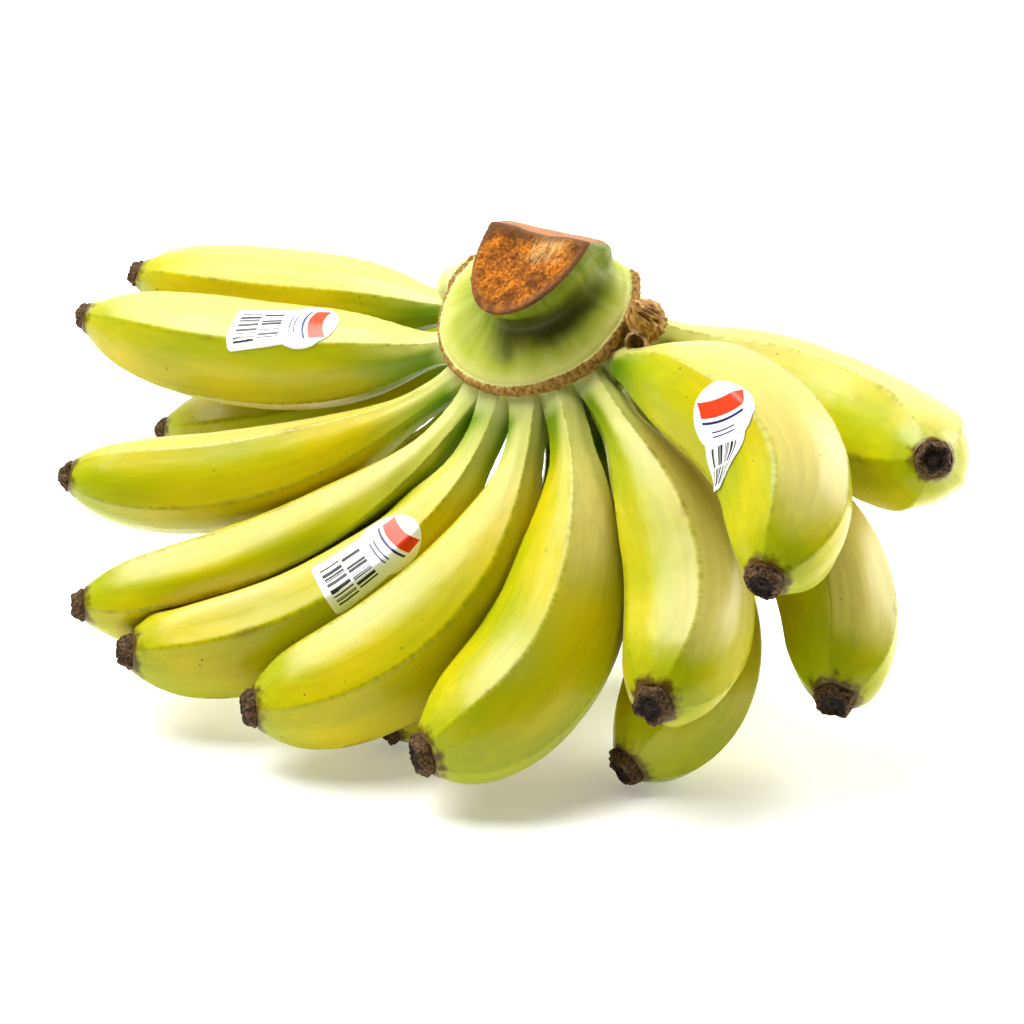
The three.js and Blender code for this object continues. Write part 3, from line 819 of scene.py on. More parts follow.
def crownMaterial():
    # banana crown, cut with a knife: green living skin, a corky bract scar, and cut faces whose sap has
    # dried to a rusty, fibrous crust
    plan = crownPlan
    material, tree = newMaterial("bananaCrownCutAndCorky")
    paint = {name: linear(colour) for name, colour in crownColours.items() if name != "skin"}
    place, fromCut, fromKnife, fromRim, fromScar = (
        addNode(tree, "ShaderNodeAttribute", {"attribute_name": name})
        for name in ("stalk", "fromCut", "fromKnife", "fromRim", "fromScar"))
    axes = addNode(tree, "ShaderNodeSeparateXYZ", {}, {0: (place, "Vector")})

    # green skin: pale under and over the scar, deeper green up the stub
    blotch = addNode(tree, "ShaderNodeTexNoise", {"Scale": 1 / (12 * mm), "Detail": 3.0},
                     {"Vector": (place, "Vector")})
    height = addNode(tree, "ShaderNodeMath", {"operation": "MULTIPLY_ADD", 1: 6 * mm},
                     {0: blotch, 2: (axes, 2)})
    rise = addNode(tree, "ShaderNodeMapRange", {1: -20 * mm, 2: 25 * mm, 3: 0.0, 4: 1.0}, {0: height})
    skin = addNode(tree, "ShaderNodeValToRGB", {}, {0: rise})
    stops = skin.color_ramp.elements
    for share, colour in crownColours["skin"]:
        mark = stops[0] if share == 0 else stops[-1] if share == 1 else stops.new(share)
        mark.color = linear(colour)
    # streaks that run down the dome, about 3 mm wide
    turned = addNode(tree, "ShaderNodeVectorMath", {"operation": "MULTIPLY", 1: (1, 1, 0)},
                     {0: (place, "Vector")})
    rays = addNode(tree, "ShaderNodeVectorMath", {"operation": "NORMALIZE"}, {0: turned})
    streaks = addNode(tree, "ShaderNodeTexNoise", {"Scale": 7.0, "Detail": 4.0}, {"Vector": rays})
    streakCut = addNode(tree, "ShaderNodeMapRange", {1: 0.4, 2: 0.7, 3: 0.0, 4: 0.16}, {0: streaks})
    streaked = addNode(tree, "ShaderNodeMix", rgba | {7: paint["streak"]}, {0: streakCut, 6: skin})

    # painted shade: a dark band in the waist under the overhanging cut end, on the side of the fan's last
    # fingers
    start, fullFrom, fullTo, stop = plan["waistShadeHeights"]
    waistShadeSide = addNode(tree, "ShaderNodeVectorMath", {"operation": "DOT_PRODUCT", 1: plan["waistShadeWay"]},
                         {0: rays})
    waistShadeTurn = addNode(tree, "ShaderNodeMapRange", soft | {1: 0.4, 2: 0.9, 3: 0.0, 4: 1.0},
                         {0: waistShadeSide})
    waistShadeUp = addNode(tree, "ShaderNodeMapRange", soft | {1: start, 2: fullFrom, 3: 0.0, 4: 1.0},
                       {0: height})
    waistShadeDown = addNode(tree, "ShaderNodeMapRange", soft | {1: fullTo, 2: stop, 3: 1.0, 4: 0.0},
                         {0: height})
    waistShadeBand = addNode(tree, "ShaderNodeMath", {"operation": "MULTIPLY"}, {0: waistShadeUp, 1: waistShadeDown})
    paintedWaistShade = addNode(tree, "ShaderNodeMath", {"operation": "MULTIPLY"}, {0: waistShadeBand, 1: waistShadeTurn})
    waistShadeShare = addNode(tree, "ShaderNodeMath", {"operation": "MULTIPLY", 1: plan["waistShadeStrength"]},
                          {0: paintedWaistShade})
    waistShaded = addNode(tree, "ShaderNodeMix", rgba | {7: paint["paintedWaistShade"]}, {0: waistShadeShare, 6: streaked})

    # the bract scar
    cork = addNode(tree, "ShaderNodeTexNoise", {"Scale": 1 / (1.1 * mm), "Detail": 4.0},
                   {"Vector": (place, "Vector")})
    corkCut = addNode(tree, "ShaderNodeMapRange", {1: 0.35, 2: 0.65, 3: 0.0, 4: 1.0}, {0: cork})
    corkColour = addNode(tree, "ShaderNodeMix", rgba | {6: paint["corkDark"], 7: paint["corkPale"]},
                         {0: corkCut})
    scarEdge = addNode(tree, "ShaderNodeMath", {"operation": "MULTIPLY_ADD", 1: 0.6 * mm},
                       {0: cork, 2: (fromScar, "Fac")})
    scarMask = addNode(tree, "ShaderNodeMapRange", {1: 0.28 * mm, 2: 0.45 * mm, 3: 1.0, 4: 0.0},
                       {0: scarEdge})
    scarred = addNode(tree, "ShaderNodeMix", rgba, {0: scarMask, 6: waistShaded, 7: corkColour})
    lineMask = addNode(tree, "ShaderNodeMapRange", {1: 0.3 * mm, 2: 0.6 * mm, 3: 1.0, 4: 0.0},
                       {0: scarEdge})
    lineOnly = addNode(tree, "ShaderNodeMath", {"operation": "SUBTRACT", "use_clamp": True},
                       {0: lineMask, 1: scarMask})
    outlined = addNode(tree, "ShaderNodeMix", rgba | {7: paint["scarEdge"]}, {0: lineOnly, 6: scarred})

    # the knife's face: smooth, salmon brown, drier towards its edges
    sweep = addNode(tree, "ShaderNodeMapping", {"Scale": (1, 0.35, 1)}, {"Vector": (place, "Vector")})
    smear = addNode(tree, "ShaderNodeTexNoise", {"Scale": 1 / (3 * mm), "Detail": 3.0}, {"Vector": sweep})
    knifeColour = addNode(tree, "ShaderNodeMix", rgba | {6: paint["knifePale"], 7: paint["knifeDark"]},
                          {0: smear})
    knifeMask = addNode(tree, "ShaderNodeMapRange", {1: 0.35 * mm, 2: 0.6 * mm, 3: 1.0, 4: 0.0},
                        {0: (fromKnife, "Fac")})
    knifed = addNode(tree, "ShaderNodeMix", rgba, {0: knifeMask, 6: outlined, 7: knifeColour})

    # the sawn end of the stub: rust, with paler grains of dried sap and pulled fibres
    grain = addNode(tree, "ShaderNodeTexNoise", {"Scale": 1 / (0.9 * mm), "Detail": 5.0, "Roughness": 0.7},
                    {"Vector": (place, "Vector")})
    grainCut = addNode(tree, "ShaderNodeMapRange", {1: 0.4, 2: 0.62, 3: 0.0, 4: 1.0}, {0: grain})
    grains = addNode(tree, "ShaderNodeMix", rgba | {6: paint["rustDark"], 7: paint["rustPale"]},
                     {0: grainCut})
    # darker where the sap dried thick, in patches about 5 mm wide and in pits
    thick = addNode(tree, "ShaderNodeTexNoise", {"Scale": 1 / (5.5 * mm), "Detail": 5.0, "Roughness": 0.7},
                    {"Vector": (place, "Vector")})
    thickCut = addNode(tree, "ShaderNodeMapRange", {1: 0.42, 2: 0.6, 3: 0.0, 4: 0.85}, {0: thick})
    rust = addNode(tree, "ShaderNodeMix", rgba | {7: paint["thickSap"]}, {0: thickCut, 6: grains})
    pull = addNode(tree, "ShaderNodeMapping", {"Scale": (0.4, 1, 1)}, {"Vector": (place, "Vector")})
    fibres = addNode(tree, "ShaderNodeTexNoise", {"Scale": 1 / (1.1 * mm), "Detail": 5.0, "Roughness": 0.75},
                     {"Vector": pull})
    fromTuft = addNode(tree, "ShaderNodeVectorMath", {"operation": "DISTANCE", 1: plan["tuft"]},
                       {0: (place, "Vector")})
    near, far = plan["tuftReach"]
    fibreReach = addNode(tree, "ShaderNodeMapRange", {1: near, 2: far, 3: 0.62, 4: 0.32}, {0: fromTuft})
    fibreSum = addNode(tree, "ShaderNodeMath", {"operation": "ADD"}, {0: fibres, 1: fibreReach})
    fibreMask = addNode(tree, "ShaderNodeMapRange", {1: 0.98, 2: 1.2, 3: 0.0, 4: 0.7}, {0: fibreSum})
    tufted = addNode(tree, "ShaderNodeMix", rgba | {7: paint["fibre"]}, {0: fibreMask, 6: rust})
    rimEdge = addNode(tree, "ShaderNodeMath", {"operation": "MULTIPLY_ADD", 1: -4 * mm},
                      {0: blotch, 2: (fromRim, "Fac")})
    rimMask = addNode(tree, "ShaderNodeMapRange", {1: -2.0 * mm, 2: 0.5 * mm, 3: 0.8, 4: 0.0}, {0: rimEdge})
    rimmed = addNode(tree, "ShaderNodeMix", rgba | {7: paint["rim"]}, {0: rimMask, 6: tufted})
    cutMask = addNode(tree, "ShaderNodeMapRange", {1: 0.75 * mm, 2: 1.0 * mm, 3: 1.0, 4: 0.0},
                      {0: (fromCut, "Fac")})
    colour = addNode(tree, "ShaderNodeMix", rgba, {0: cutMask, 6: knifed, 7: rimmed})

    dryAny = addNode(tree, "ShaderNodeMath", {"operation": "MAXIMUM"}, {0: cutMask, 1: scarMask})
    gloss = addNode(tree, "ShaderNodeMapRange", {1: 0.0, 2: 1.0, 3: 0.42, 4: 0.85}, {0: dryAny})
    rough = addNode(tree, "ShaderNodeMath", {"operation": "MULTIPLY"}, {0: grain, 1: dryAny})
    relief = addNode(tree, "ShaderNodeMath", {"operation": "MULTIPLY_ADD", 1: 0.15}, {0: cork, 2: rough})
    bump = addNode(tree, "ShaderNodeBump", {"Strength": 0.7, "Distance": 0.5 * mm}, {"Height": relief})
    shader = addNode(tree, "ShaderNodeBsdfPrincipled", {"IOR": 1.38},
                     {"Base Color": colour, "Roughness": gloss, "Normal": bump})
    addNode(tree, "ShaderNodeOutputMaterial", {}, {"Surface": shader})
    return material


# The dry flower end of each finger: a ragged ring round a sunken middle.
flowerEndPlan = {
    "sides": 40,
    # share of the neck's radius, and share of the way from the green lip to the end
    "loops": ((0.62, -0.30), (0.86, -0.12), (0.98, 0.04), (1.02, 0.20), (1.05, 0.42), (1.03, 0.64),
              (0.97, 0.84), (0.89, 0.97), (0.80, 0.99), (0.71, 0.86), (0.62, 0.70), (0.52, 0.64),
              (0.43, 0.70), (0.34, 0.66), (0.22, 0.72), (0.11, 0.86)),
    "size": 0.86,
    "short": 0.86,             # of the way to the solid's end
    "narrow": {"finger_upper_01": 0.8, "finger_upper_02": 0.85, "finger_upper_05": 0.9},
    "lobes": 0.07,
    "ragged": 0.14,
    "raggedEdge": 0.16,
    "rings": (0.05, 24),       # height of the rings in the sunken middle, and their count times 2 pi
    # how far an end is drawn out to a point, from 0 to 1
    "point": 0.22,
    "points": {"finger_upper_03": 1.0, "finger_upper_04": 0.7, "finger_upper_05": 0.5,
               "finger_upper_06": 0.6, "finger_upper_07": 0.4, "finger_lower_02": 0.8},
    "pointThin": 0.55,
    "pointRise": 0.35,
    "patternStep": 5,          # from one end's pattern to the next, in radii
    "shapeStep": 7.3,
    # dark and light of the sunken middle and of the torn rim
    "inside": ("#16110c", "#4a3a28"),
    "outside": ("#2c1f14", "#7d5f34"),
}


def flowerEnd(name, number, material):
    plan = flowerEndPlan
    shape = fingerShapes[name]
    lip = fingerPlan["lipRing"]
    middle = shape["middles"][lip]
    axis = (shape["tip"] - middle).normalized()
    length = (shape["tip"] - middle).length * plan["short"]
    radius = shape["girths"][lip] * plan["size"]
    side = shape["rings"][lip][0] - middle
    side = (side - axis * side.dot(axis)).normalized()
    space = Matrix((side, axis.cross(side), axis)).transposed().to_4x4()
    space.translation = middle

    bm = bmesh.new()
    bmesh.ops.create_circle(bm, segments=plan["sides"], radius=1.0, cap_ends=False)
    verts, edges, before = bm.verts[:], bm.edges[:], 1.0
    for k, (size, depth) in enumerate(plan["loops"]):
        if k:
            grown = bmesh.ops.extrude_edge_only(bm, edges=edges)["geom"]
            verts = [g for g in grown if isinstance(g, bmesh.types.BMVert)]
            edges = [g for g in grown if isinstance(g, bmesh.types.BMEdge) and g.is_boundary]
        share = size / before
        bmesh.ops.scale(bm, vec=(share, share, 1), verts=verts)
        bmesh.ops.translate(bm, vec=(0, 0, depth - verts[0].co.z), verts=verts)
        before = size
    ends = bmesh.ops.holes_fill(bm, edges=[e for e in bm.edges if e.is_boundary], sides=0)["faces"]
    bmesh.ops.poke(bm, faces=ends)
    bmesh.ops.recalc_face_normals(bm, faces=bm.faces)
    mesh = meshFrom(bm, name + "_flower_end", "SUBSURF", levels=1, render_levels=1)
    bm.free()

    own = mesh.attributes.new("flower", "FLOAT_VECTOR", "POINT").data
    point = plan["points"].get(name, plan["point"])
    thinner = 1 - plan["narrow"].get(name, 1.0)
    ringHeight, ringCount = plan["rings"]
    for i, vert in enumerate(mesh.vertices):
        x, y, z = vert.co
        turn, reach = math.atan2(y, x), math.hypot(x, y)
        own[i].vector = (x, y, z + number * plan["patternStep"])
        seed = Vector((x, y, z)) * 1.6 + Vector((0, 0, number * plan["shapeStep"]))
        ragged = noise.noise(seed) + 0.7 * noise.noise(seed * 2.7)
        out = smoothStep(-0.1, 0.3, z) * smoothStep(0.1, 0.8, reach)
        grown = 1 + out * (plan["lobes"] * math.cos(5 * turn) + plan["ragged"] * ragged)
        grown *= 1 - point * plan["pointThin"] * smoothStep(0.1, 1.0, z)
        grown *= 1 - thinner * smoothStep(0.0, 0.5, z)
        sunken = smoothStep(0.85, 0.7, reach) * smoothStep(0.4, 0.6, z)
        ringed = ringHeight * math.sin(reach * ringCount) * sunken
        pointed = point * plan["pointRise"] * smoothStep(0.8, 0.1, reach) * (z > 0.5)
        lifted = z + out * plan["raggedEdge"] * ragged + ringed + pointed
        here = Vector((x * grown * radius, y * grown * radius, min(1.0, lifted) * length))
        vert.co = keptInBox(space @ here)
    return newPiece(name + "_flower_end", mesh, material)


def flowerEndMaterial():
    # dried flower end: dead, papery tissue, almost black in the sunken middle and brown on its torn rim
    material, tree = newMaterial("driedFlowerEndTissue")
    place = addNode(tree, "ShaderNodeAttribute", {"attribute_name": "flower"})
    axes = addNode(tree, "ShaderNodeSeparateXYZ", {}, {0: (place, "Vector")})
    flat = addNode(tree, "ShaderNodeCombineXYZ", {}, {0: (axes, 0), 1: (axes, 1)})
    reach = addNode(tree, "ShaderNodeVectorMath", {"operation": "LENGTH"}, {0: flat})
    # the unit of this pattern is the end's radius, about 5 mm
    crumb = addNode(tree, "ShaderNodeTexNoise", {"Scale": 5.0, "Detail": 5.0, "Roughness": 0.65},
                    {"Vector": (place, "Vector")})
    crumbCut = addNode(tree, "ShaderNodeMapRange", {1: 0.4, 2: 0.66, 3: 0.0, 4: 1.0}, {0: crumb})
    reachNoise = addNode(tree, "ShaderNodeMath", {"operation": "MULTIPLY_ADD", 1: 0.35},
                         {0: crumb, 2: reach})
    rim = addNode(tree, "ShaderNodeMapRange", soft | {1: 0.85, 2: 1.15, 3: 0.0, 4: 1.0}, {0: reachNoise})
    inside, outside = (
        addNode(tree, "ShaderNodeMix", rgba | {6: linear(dark), 7: linear(light)}, {0: crumbCut})
        for dark, light in (flowerEndPlan["inside"], flowerEndPlan["outside"]))
    colour = addNode(tree, "ShaderNodeMix", rgba, {0: rim, 6: inside, 7: outside})
    bump = addNode(tree, "ShaderNodeBump", {"Strength": 0.8, "Distance": 0.4 * mm}, {"Height": crumb})
    shader = addNode(tree, "ShaderNodeBsdfPrincipled", {"IOR": 1.45, "Roughness": 0.8},
                     {"Base Color": colour, "Normal": bump})
    addNode(tree, "ShaderNodeOutputMaterial", {}, {"Surface": shader})
    return material


# The dried stump of a finger that broke off: twisted papery skin, a hollow end and a knob on top.
stumpPlan = {
    "voxel": 0.38 * mm,
    "smoothing": ((-99, 99, 3),),
    "solidSize": 0.92,                # of the solid that it starts from
    "end": (4.3, 33.2, 0.7),          # middle of the hollow end, in the stalk's axes
    "facing": (0.80, 0.16, 0.51),
    "endRadius": 3.0 * mm,
    "endTaper": 0.85,
    "endDepth": 9.0 * mm,
    "hollow": 2.6 * mm,
    "knob": (-0.5, 34.6, 11.2),
    "knobRadius": 1.7 * mm,
    "coneLength": 13 * mm,            # from the broad base up to the knob
    "coneWidth": 5.4 * mm,
    "coneTaper": 0.8,                 # of the knob's radius, where the cone ends in it
    "folds": 0.8 * mm,
    "foldMiddle": (-3 * mm, 33 * mm),   # the axis that the folds twist round
    "foldTwist": 9 * mm,              # length over which they turn by a radian
    "small": 0.22 * mm,
    "rimRagged": 0.5 * mm,
    # dark and light of the skin and of the torn rim
    "skinColours": ("#7a5318", "#d0a564"),
    "rimColours": ("#9a7650", "#d3b48c"),
    # painted shade in the valleys between the folds
    "paintedFoldShade": "#54360f",
    # the hollow's own brown, laid on more strongly further in as painted shade
    "hollowBrownAndShade": "#6b4a30",
}


def driedStump(material):
    plan = stumpPlan
    bm = mergedCopy("dried_stump")
    middle = middleOf([v.co for v in bm.verts])
    bmesh.ops.scale(bm, vec=Vector((1, 1, 1)) * plan["solidSize"], space=Matrix.Translation(-middle),
                    verts=bm.verts)
    facing = (stalk.to_3x3() @ Vector(plan["facing"])).normalized()
    end = facing.to_track_quat("Z", "Y").to_matrix().to_4x4()
    end.translation = stalk @ (Vector(plan["end"]) * mm)
    bmesh.ops.create_cone(bm, segments=24, depth=plan["endDepth"], cap_ends=True,
                          radius1=plan["endRadius"] * plan["endTaper"], radius2=plan["endRadius"],
                          matrix=end @ Matrix.Translation((0, 0, -plan["endDepth"] / 2)))
    # it narrows upwards to the knob
    knobPlace = stalk @ (Vector(plan["knob"]) * mm)
    rising = (knobPlace - middle).normalized()
    cone = rising.to_track_quat("Z", "Y").to_matrix().to_4x4()
    cone.translation = knobPlace - rising * plan["coneLength"] / 2
    bmesh.ops.create_cone(bm, segments=24, depth=plan["coneLength"], cap_ends=True, matrix=cone,
                          radius1=plan["coneWidth"], radius2=plan["knobRadius"] * plan["coneTaper"])
    bmesh.ops.create_uvsphere(bm, u_segments=16, v_segments=10, radius=plan["knobRadius"],
                              matrix=Matrix.Translation(knobPlace))
    mesh = remeshed(bm, "dried_stump_body", plan["voxel"], plan["smoothing"])

    layers = newAttributes(mesh, "stalk", "hollow", "rim", "fold")
    toEnd = end.inverted()
    foldX, foldY = plan["foldMiddle"]
    moved = []
    for i, vert in enumerate(mesh.vertices):
        s = toStalk @ vert.co
        e = toEnd @ vert.co
        turn, reach = math.atan2(e.y, e.x), math.hypot(e.x, e.y)
        share = reach / (plan["endRadius"] * (1 + 0.10 * roundNoise(turn, 5, 1.7)))
        # the end: a ragged lip round a hollow with thin walls left in it
        front = smoothStep(-1.2 * mm, -0.4 * mm, e.z) * smoothStep(1.5, 1.2, share)
        walls = noise.noise(Vector((e.x / (2.6 * mm), e.y / (1.5 * mm), 0.7)))
        sunk = front * smoothStep(0.86, 0.60, share) * (1 + 0.45 * walls)
        lip = front * smoothStep(0.6, 0.85, share)
        # the rest: folds that twist upwards, weaker on the knob
        swirl = math.atan2(s.y - foldY, s.x - foldX) * 1.6 + s.z / plan["foldTwist"]
        crest = 1 - 2 * abs(roundNoise(swirl, s.z / (14 * mm), 2.3))
        body = (1 - front) * (plan["folds"] * (crest - 0.45) + plan["small"] * noise.noise(s / (1.3 * mm)))
        if (s - Vector(plan["knob"]) * mm).length < plan["knobRadius"] * 1.3:
            body *= 0.3
        shift = vert.normal * body - facing * plan["hollow"] * sunk
        shift += facing * lip * plan["rimRagged"] * roundNoise(turn, 2, 3)
        moved.append(keptInBox(vert.co + shift))
        layers["stalk"][i].vector = s
        layers["hollow"][i].value = sunk
        layers["rim"][i].value = lip
        layers["fold"][i].value = crest
    movePoints(mesh, moved)
    return newPiece("dried_stump_body", mesh, material, ["dried_stump"])


def stumpMaterial():
    # dried pedicel: papery and fibrous, golden to dark brown, paler on the torn rim of its hollow end, with
    # painted shade in the valleys of its folds and deeper in its hollow
    plan = stumpPlan
    material, tree = newMaterial("driedPedicelPapery")
    place, hollow, rim, fold = (
        addNode(tree, "ShaderNodeAttribute", {"attribute_name": name})
        for name in ("stalk", "hollow", "rim", "fold"))
    pull = addNode(tree, "ShaderNodeMapping", {"Scale": (1, 1, 0.3)}, {"Vector": (place, "Vector")})
    fibres = addNode(tree, "ShaderNodeTexNoise", {"Scale": 1 / (1.2 * mm), "Detail": 4.0}, {"Vector": pull})
    tone = addNode(tree, "ShaderNodeMapRange", {1: 0.35, 2: 0.65, 3: 0.0, 4: 1.0}, {0: fibres})
    ground, pale = (
        addNode(tree, "ShaderNodeMix", rgba | {6: linear(dark), 7: linear(light)}, {0: tone})
        for dark, light in (plan["skinColours"], plan["rimColours"]))
    # painted shade: darker down in the valleys between the folds
    foldShade = addNode(tree, "ShaderNodeMapRange", {1: 0.5, 2: -0.2, 3: 0.0, 4: 0.85}, {0: (fold, "Fac")})
    folds = addNode(tree, "ShaderNodeMix", rgba | {7: linear(plan["paintedFoldShade"])}, {0: foldShade, 6: ground})
    withRim = addNode(tree, "ShaderNodeMix", rgba, {0: (rim, "Fac"), 6: folds, 7: pale})
    # the hollow's own brown, laid on more strongly further in as painted shade
    depth = addNode(tree, "ShaderNodeMapRange", {1: 0.35, 2: 1.1, 3: 0.0, 4: 0.9}, {0: (hollow, "Fac")})
    colour = addNode(tree, "ShaderNodeMix", rgba | {7: linear(plan["hollowBrownAndShade"])},
                     {0: depth, 6: withRim})
    bump = addNode(tree, "ShaderNodeBump", {"Strength": 0.7, "Distance": 0.3 * mm}, {"Height": fibres})
    shader = addNode(tree, "ShaderNodeBsdfPrincipled", {"IOR": 1.45, "Roughness": 0.7},
                     {"Base Color": colour, "Normal": bump})
    addNode(tree, "ShaderNodeOutputMaterial", {}, {"Surface": shader})
    return material


# Stickers: a round head on a narrower tail, printed in plain bands and bars.
labelPlan = {
    "length": 32.0 * mm,
    "headRadius": 9.0 * mm,
    "tailHalfWidth": 7.0 * mm,
    "cornerRadius": 1.4 * mm,
    "thickness": 0.12 * mm,
    "lift": 0.10 * mm,
    "rows": 96,
    "columns": 40,
    "pinched": {"label_3": 0.72},   # share of the width that is lost at the end of the tail
    "pinchFrom": 0.52,              # share of the length
    "pleat": 0.5 * mm,
    "pleatWidth": 1.5 * mm,
    "pleatSlant": 6 * mm,
    # the print, in millimetres from the far end of the head
    "paper": "#f6f5f2",
    "bow": 0.03,                    # of the bands, per square millimetre
    # each band's two edges, half width and ink
    "bands": ((4.2, 8.6, 6.2, "#e0481f"), (9.6, 10.3, 6.2, "#2b2f78"), (12.3, 12.7, 3.6, "#2b2f78"),
              (13.6, 14.0, 3.6, "#2b2f78")),
    # each block of bars: its two edges and a place in the pattern of uneven widths
    "bars": ((16.6, 22.6, 0.0), (23.4, 29.8, 40.0)),
    "barsHalfWidth": 5.0,
    "barInk": "#26241c",
}
labelNames = sorted(n for n in nodes if n.startswith("label_"))


def skinAt(shape, far, turn):
    # the point of a finger's skin at a distance along it and a number of columns round it, with the
    # point of the finger's middle line beside it
    places, rings = shape["places"], shape["rings"]
    k = max(j for j in range(len(places) - 1) if places[j] <= far or j == 0)
    share = (far - places[k]) / (places[k + 1] - places[k])
    count = len(rings[0])
    i = math.floor(turn)
    part = turn - i
    near = rings[k][i % count].lerp(rings[k][(i + 1) % count], part)
    farther = rings[k + 1][i % count].lerp(rings[k + 1][(i + 1) % count], part)
    middle = shape["middles"][k].lerp(shape["middles"][k + 1], share)
    return near.lerp(farther, share), middle


def nearest(shape, point):
    # the corner of a finger's rings nearest to a point: its distance, ring and column
    spots = ((spot, k, i) for k, ring in enumerate(shape["rings"]) for i, spot in enumerate(ring))
    return min(((spot - point).length, k, i) for spot, k, i in spots)


def nearestOn(shape, point):
    # distance along the finger and columns round it of the skin nearest to a point
    _, k, i = nearest(shape, point)
    best = (shape["places"][k], float(i))
    step = (6 * mm, 0.5)
    for _ in range(9):
        options = [(best[0] + a * step[0], best[1] + b * step[1]) for a in (-1, 0, 1) for b in (-1, 0, 1)]
        best = min(options, key=lambda o: (skinAt(shape, *o)[0] - point).length)
        step = (step[0] * 0.6, step[1] * 0.6)
    return best


def labelHalfWidth(distance):
    # half the sticker's width at a distance from the far end of its head
    plan = labelPlan
    fromMiddle = distance - plan["headRadius"]
    head = math.sqrt(max(0.0, plan["headRadius"] ** 2 - fromMiddle ** 2))
    if fromMiddle < 0:
        return head
    tail = plan["tailHalfWidth"]
    left = plan["length"] - distance
    if left < plan["cornerRadius"]:
        short = plan["cornerRadius"] - left
        tail -= plan["cornerRadius"] - math.sqrt(max(0.0, plan["cornerRadius"] ** 2 - short ** 2))
    return max(head, tail)


def sticker(name, material):
    plan = labelPlan
    solid = [v.co.copy() for v in nodes[name].data.vertices]
    middle = middleOf(solid)
    owner = min(fingerNames, key=lambda n: nearest(fingerShapes[n], middle)[0])
    shape = fingerShapes[owner]
    count = fingerPlan["columns"]
    startFar, startTurn = nearestOn(shape, middle)
    start, inner = skinAt(shape, startFar, startTurn)
    arc = 2 * math.pi * (start - inner).length / count   # width of a column of the skin

    def flattened(point):
        far, turn = nearestOn(shape, point)
        around = (turn - startTurn + count / 2) % count - count / 2
        return Vector((around * arc, far - startFar))

    # where the solid lies, which way it runs, and which of its ends is the broad head
    spots = [flattened(p) for p in solid]
    centre = sum(spots, Vector((0, 0))) / len(spots)
    xx = sum((p.x - centre.x) ** 2 for p in spots)
    yy = sum((p.y - centre.y) ** 2 for p in spots)
    xy = sum((p.x - centre.x) * (p.y - centre.y) for p in spots)
    angle = 0.5 * math.atan2(2 * xy, xx - yy)
    axis = Vector((math.cos(angle), math.sin(angle)))
    across = Vector((-axis.y, axis.x))
    downs = [(p - centre).dot(axis) for p in spots]
    sides = [abs((p - centre).dot(across)) for p in spots]
    low, high = min(downs), max(downs)
    endPart = 0.35 * (high - low)
    lowSpread = max(s for s, d in zip(sides, downs) if d - low < endPart)
    highSpread = max(s for s, d in zip(sides, downs) if high - d < endPart)
    if lowSpread < highSpread:
        axis, across = -axis, -across
        low, high = -high, -low
    centre += axis * (low + high) / 2

    skin = bpy.data.objects[owner + "_skin"].data
    tree = BVHTree.FromPolygons([v.co for v in skin.vertices], [tuple(p.vertices) for p in skin.polygons])
    bm = bmesh.new()
    bmesh.ops.create_grid(bm, x_segments=plan["columns"], y_segments=plan["rows"], size=0.5)
    uv = bm.loops.layers.uv.new("print")
    printPlace = {}
    pinch = plan["pinched"].get(name, 0.0)
    for vert in bm.verts:
        distance = plan["length"] * (0.001 + 0.998 * (vert.co.y + 0.5))
        side = 2 * vert.co.x * labelHalfWidth(distance)
        printPlace[vert] = (side / mm, distance / mm)
        drawn = pinch * smoothStep(plan["pinchFrom"] * plan["length"], plan["length"], distance)
        wave = math.sin(side / plan["pleatWidth"] + distance / plan["pleatSlant"])
        pleats = abs(wave) * drawn * plan["pleat"]
        side *= 1 - drawn
        flat = centre + axis * (distance - plan["length"] / 2) + across * side
        guess, _ = skinAt(shape, startFar + flat.y, startTurn + flat.x / arc)
        spot, normal, _, _ = tree.find_nearest(guess)
        vert.co = spot + normal * (plan["lift"] + pleats)
    for face in bm.faces:
        for loop in face.loops:
            loop[uv].uv = printPlace[loop.vert]
    bmesh.ops.recalc_face_normals(bm, faces=bm.faces)
    outward = sum((f.normal * f.calc_area() for f in bm.faces), Vector())
    if outward.dot(middle - inner) < 0:
        bmesh.ops.reverse_faces(bm, faces=bm.faces)
    bmesh.ops.solidify(bm, geom=bm.faces[:], thickness=-plan["thickness"])
    mesh = bpy.data.meshes.new(name + "_sticker")
    bm.to_mesh(mesh)
    bm.free()
    return newPiece(name + "_sticker", mesh, material, [name])


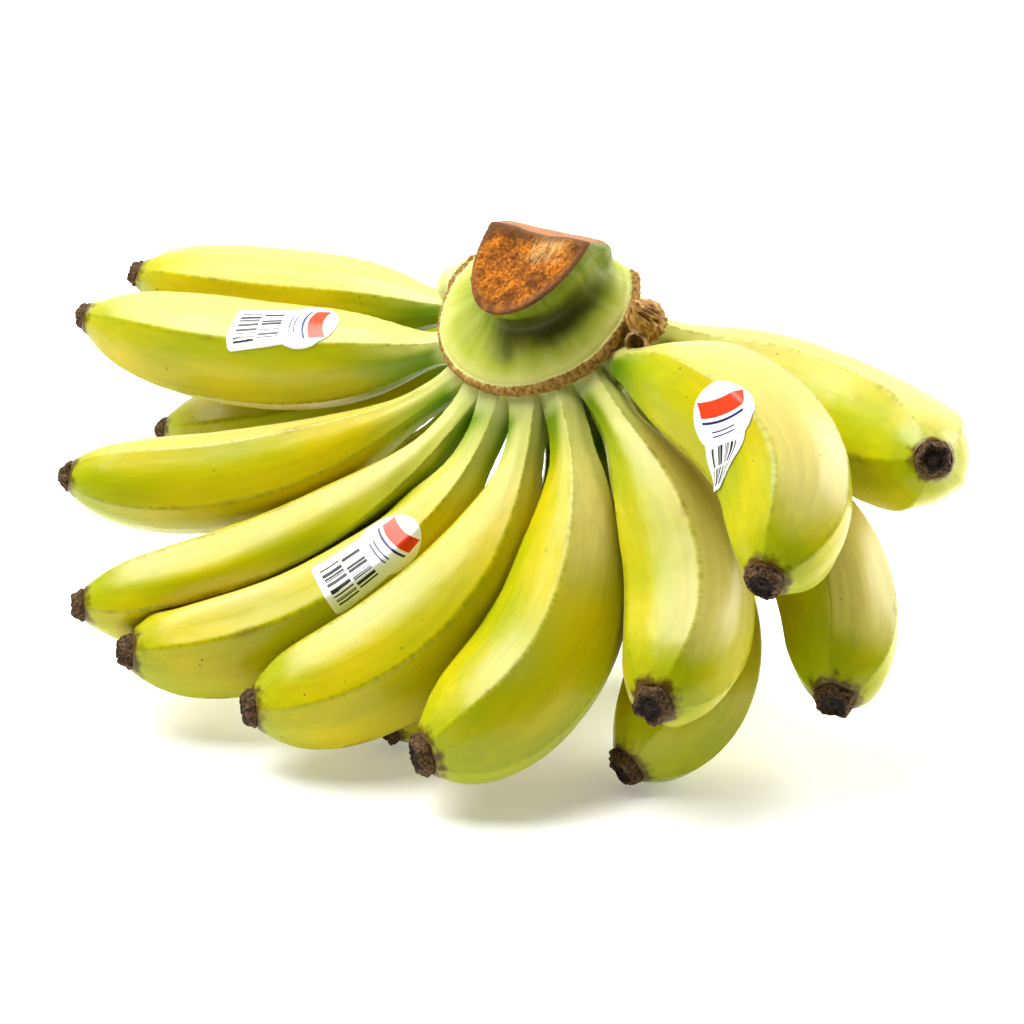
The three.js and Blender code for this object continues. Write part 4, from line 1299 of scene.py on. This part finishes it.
def stickerMaterial():
    # coated paper sticker, printed: smooth and white, with flat bands and bars of ink
    material, tree = newMaterial("coatedPaperStickerPrinted")
    uv = addNode(tree, "ShaderNodeUVMap", {"uv_map": "print"})
    axes = addNode(tree, "ShaderNodeSeparateXYZ", {}, {0: uv})

    def inBand(link, low, high):
        # 1 between two distances in millimetres, with an edge 0.1 mm soft
        centred = addNode(tree, "ShaderNodeMath", {"operation": "SUBTRACT", 1: (low + high) / 2}, {0: link})
        away = addNode(tree, "ShaderNodeMath", {"operation": "ABSOLUTE"}, {0: centred})
        half = (high - low) / 2
        return addNode(tree, "ShaderNodeMapRange", {1: half - 0.05, 2: half + 0.05, 3: 1.0, 4: 0.0},
                       {0: away})

    def both(first, second):
        return addNode(tree, "ShaderNodeMath", {"operation": "MULTIPLY"}, {0: first, 1: second})

    plan = labelPlan
    colour = addNode(tree, "ShaderNodeMix", rgba | {0: 0.0, 6: linear(plan["paper"])})
    bowed = addNode(tree, "ShaderNodeMath", {"operation": "MULTIPLY"}, {0: (axes, 0), 1: (axes, 0)})
    curve = addNode(tree, "ShaderNodeMath", {"operation": "MULTIPLY_ADD", 1: plan["bow"]},
                    {0: bowed, 2: (axes, 1)})
    for low, high, half, ink in plan["bands"]:
        band = both(inBand(curve, low, high), inBand((axes, 0), -half, half))
        colour = addNode(tree, "ShaderNodeMix", rgba | {7: linear(ink)}, {0: band, 6: colour})
    for low, high, seed in plan["bars"]:
        shifted = addNode(tree, "ShaderNodeMath", {"operation": "ADD", 1: seed}, {0: (axes, 0)})
        bars = addNode(tree, "ShaderNodeTexNoise", {"noise_dimensions": "1D", "Scale": 1.1, "Detail": 1.0},
                       {"W": shifted})
        inked = addNode(tree, "ShaderNodeMapRange", {1: 0.495, 2: 0.515, 3: 0.0, 4: 1.0}, {0: bars})
        half = plan["barsHalfWidth"]
        block = both(inBand((axes, 1), low, high), inBand((axes, 0), -half, half))
        colour = addNode(tree, "ShaderNodeMix", rgba | {7: linear(plan["barInk"])},
                         {0: both(inked, block), 6: colour})
    shader = addNode(tree, "ShaderNodeBsdfPrincipled", {"IOR": 1.5, "Roughness": 0.32},
                     {"Base Color": colour})
    addNode(tree, "ShaderNodeOutputMaterial", {}, {"Surface": shader})
    return material


peel = peelMaterial()
for number, fingerName in enumerate(fingerNames):
    fingerSkin(fingerName, number, peel)
print("finger skins made")
driedEnd = flowerEndMaterial()
for number, fingerName in enumerate(fingerNames):
    flowerEnd(fingerName, number, driedEnd)
print("flower ends made")
crownBody(crownMaterial())
print("crown made")
driedStump(stumpMaterial())
print("stump made")
stickerPaper = stickerMaterial()
for labelName in labelNames:
    sticker(labelName, stickerPaper)
print("stickers made")
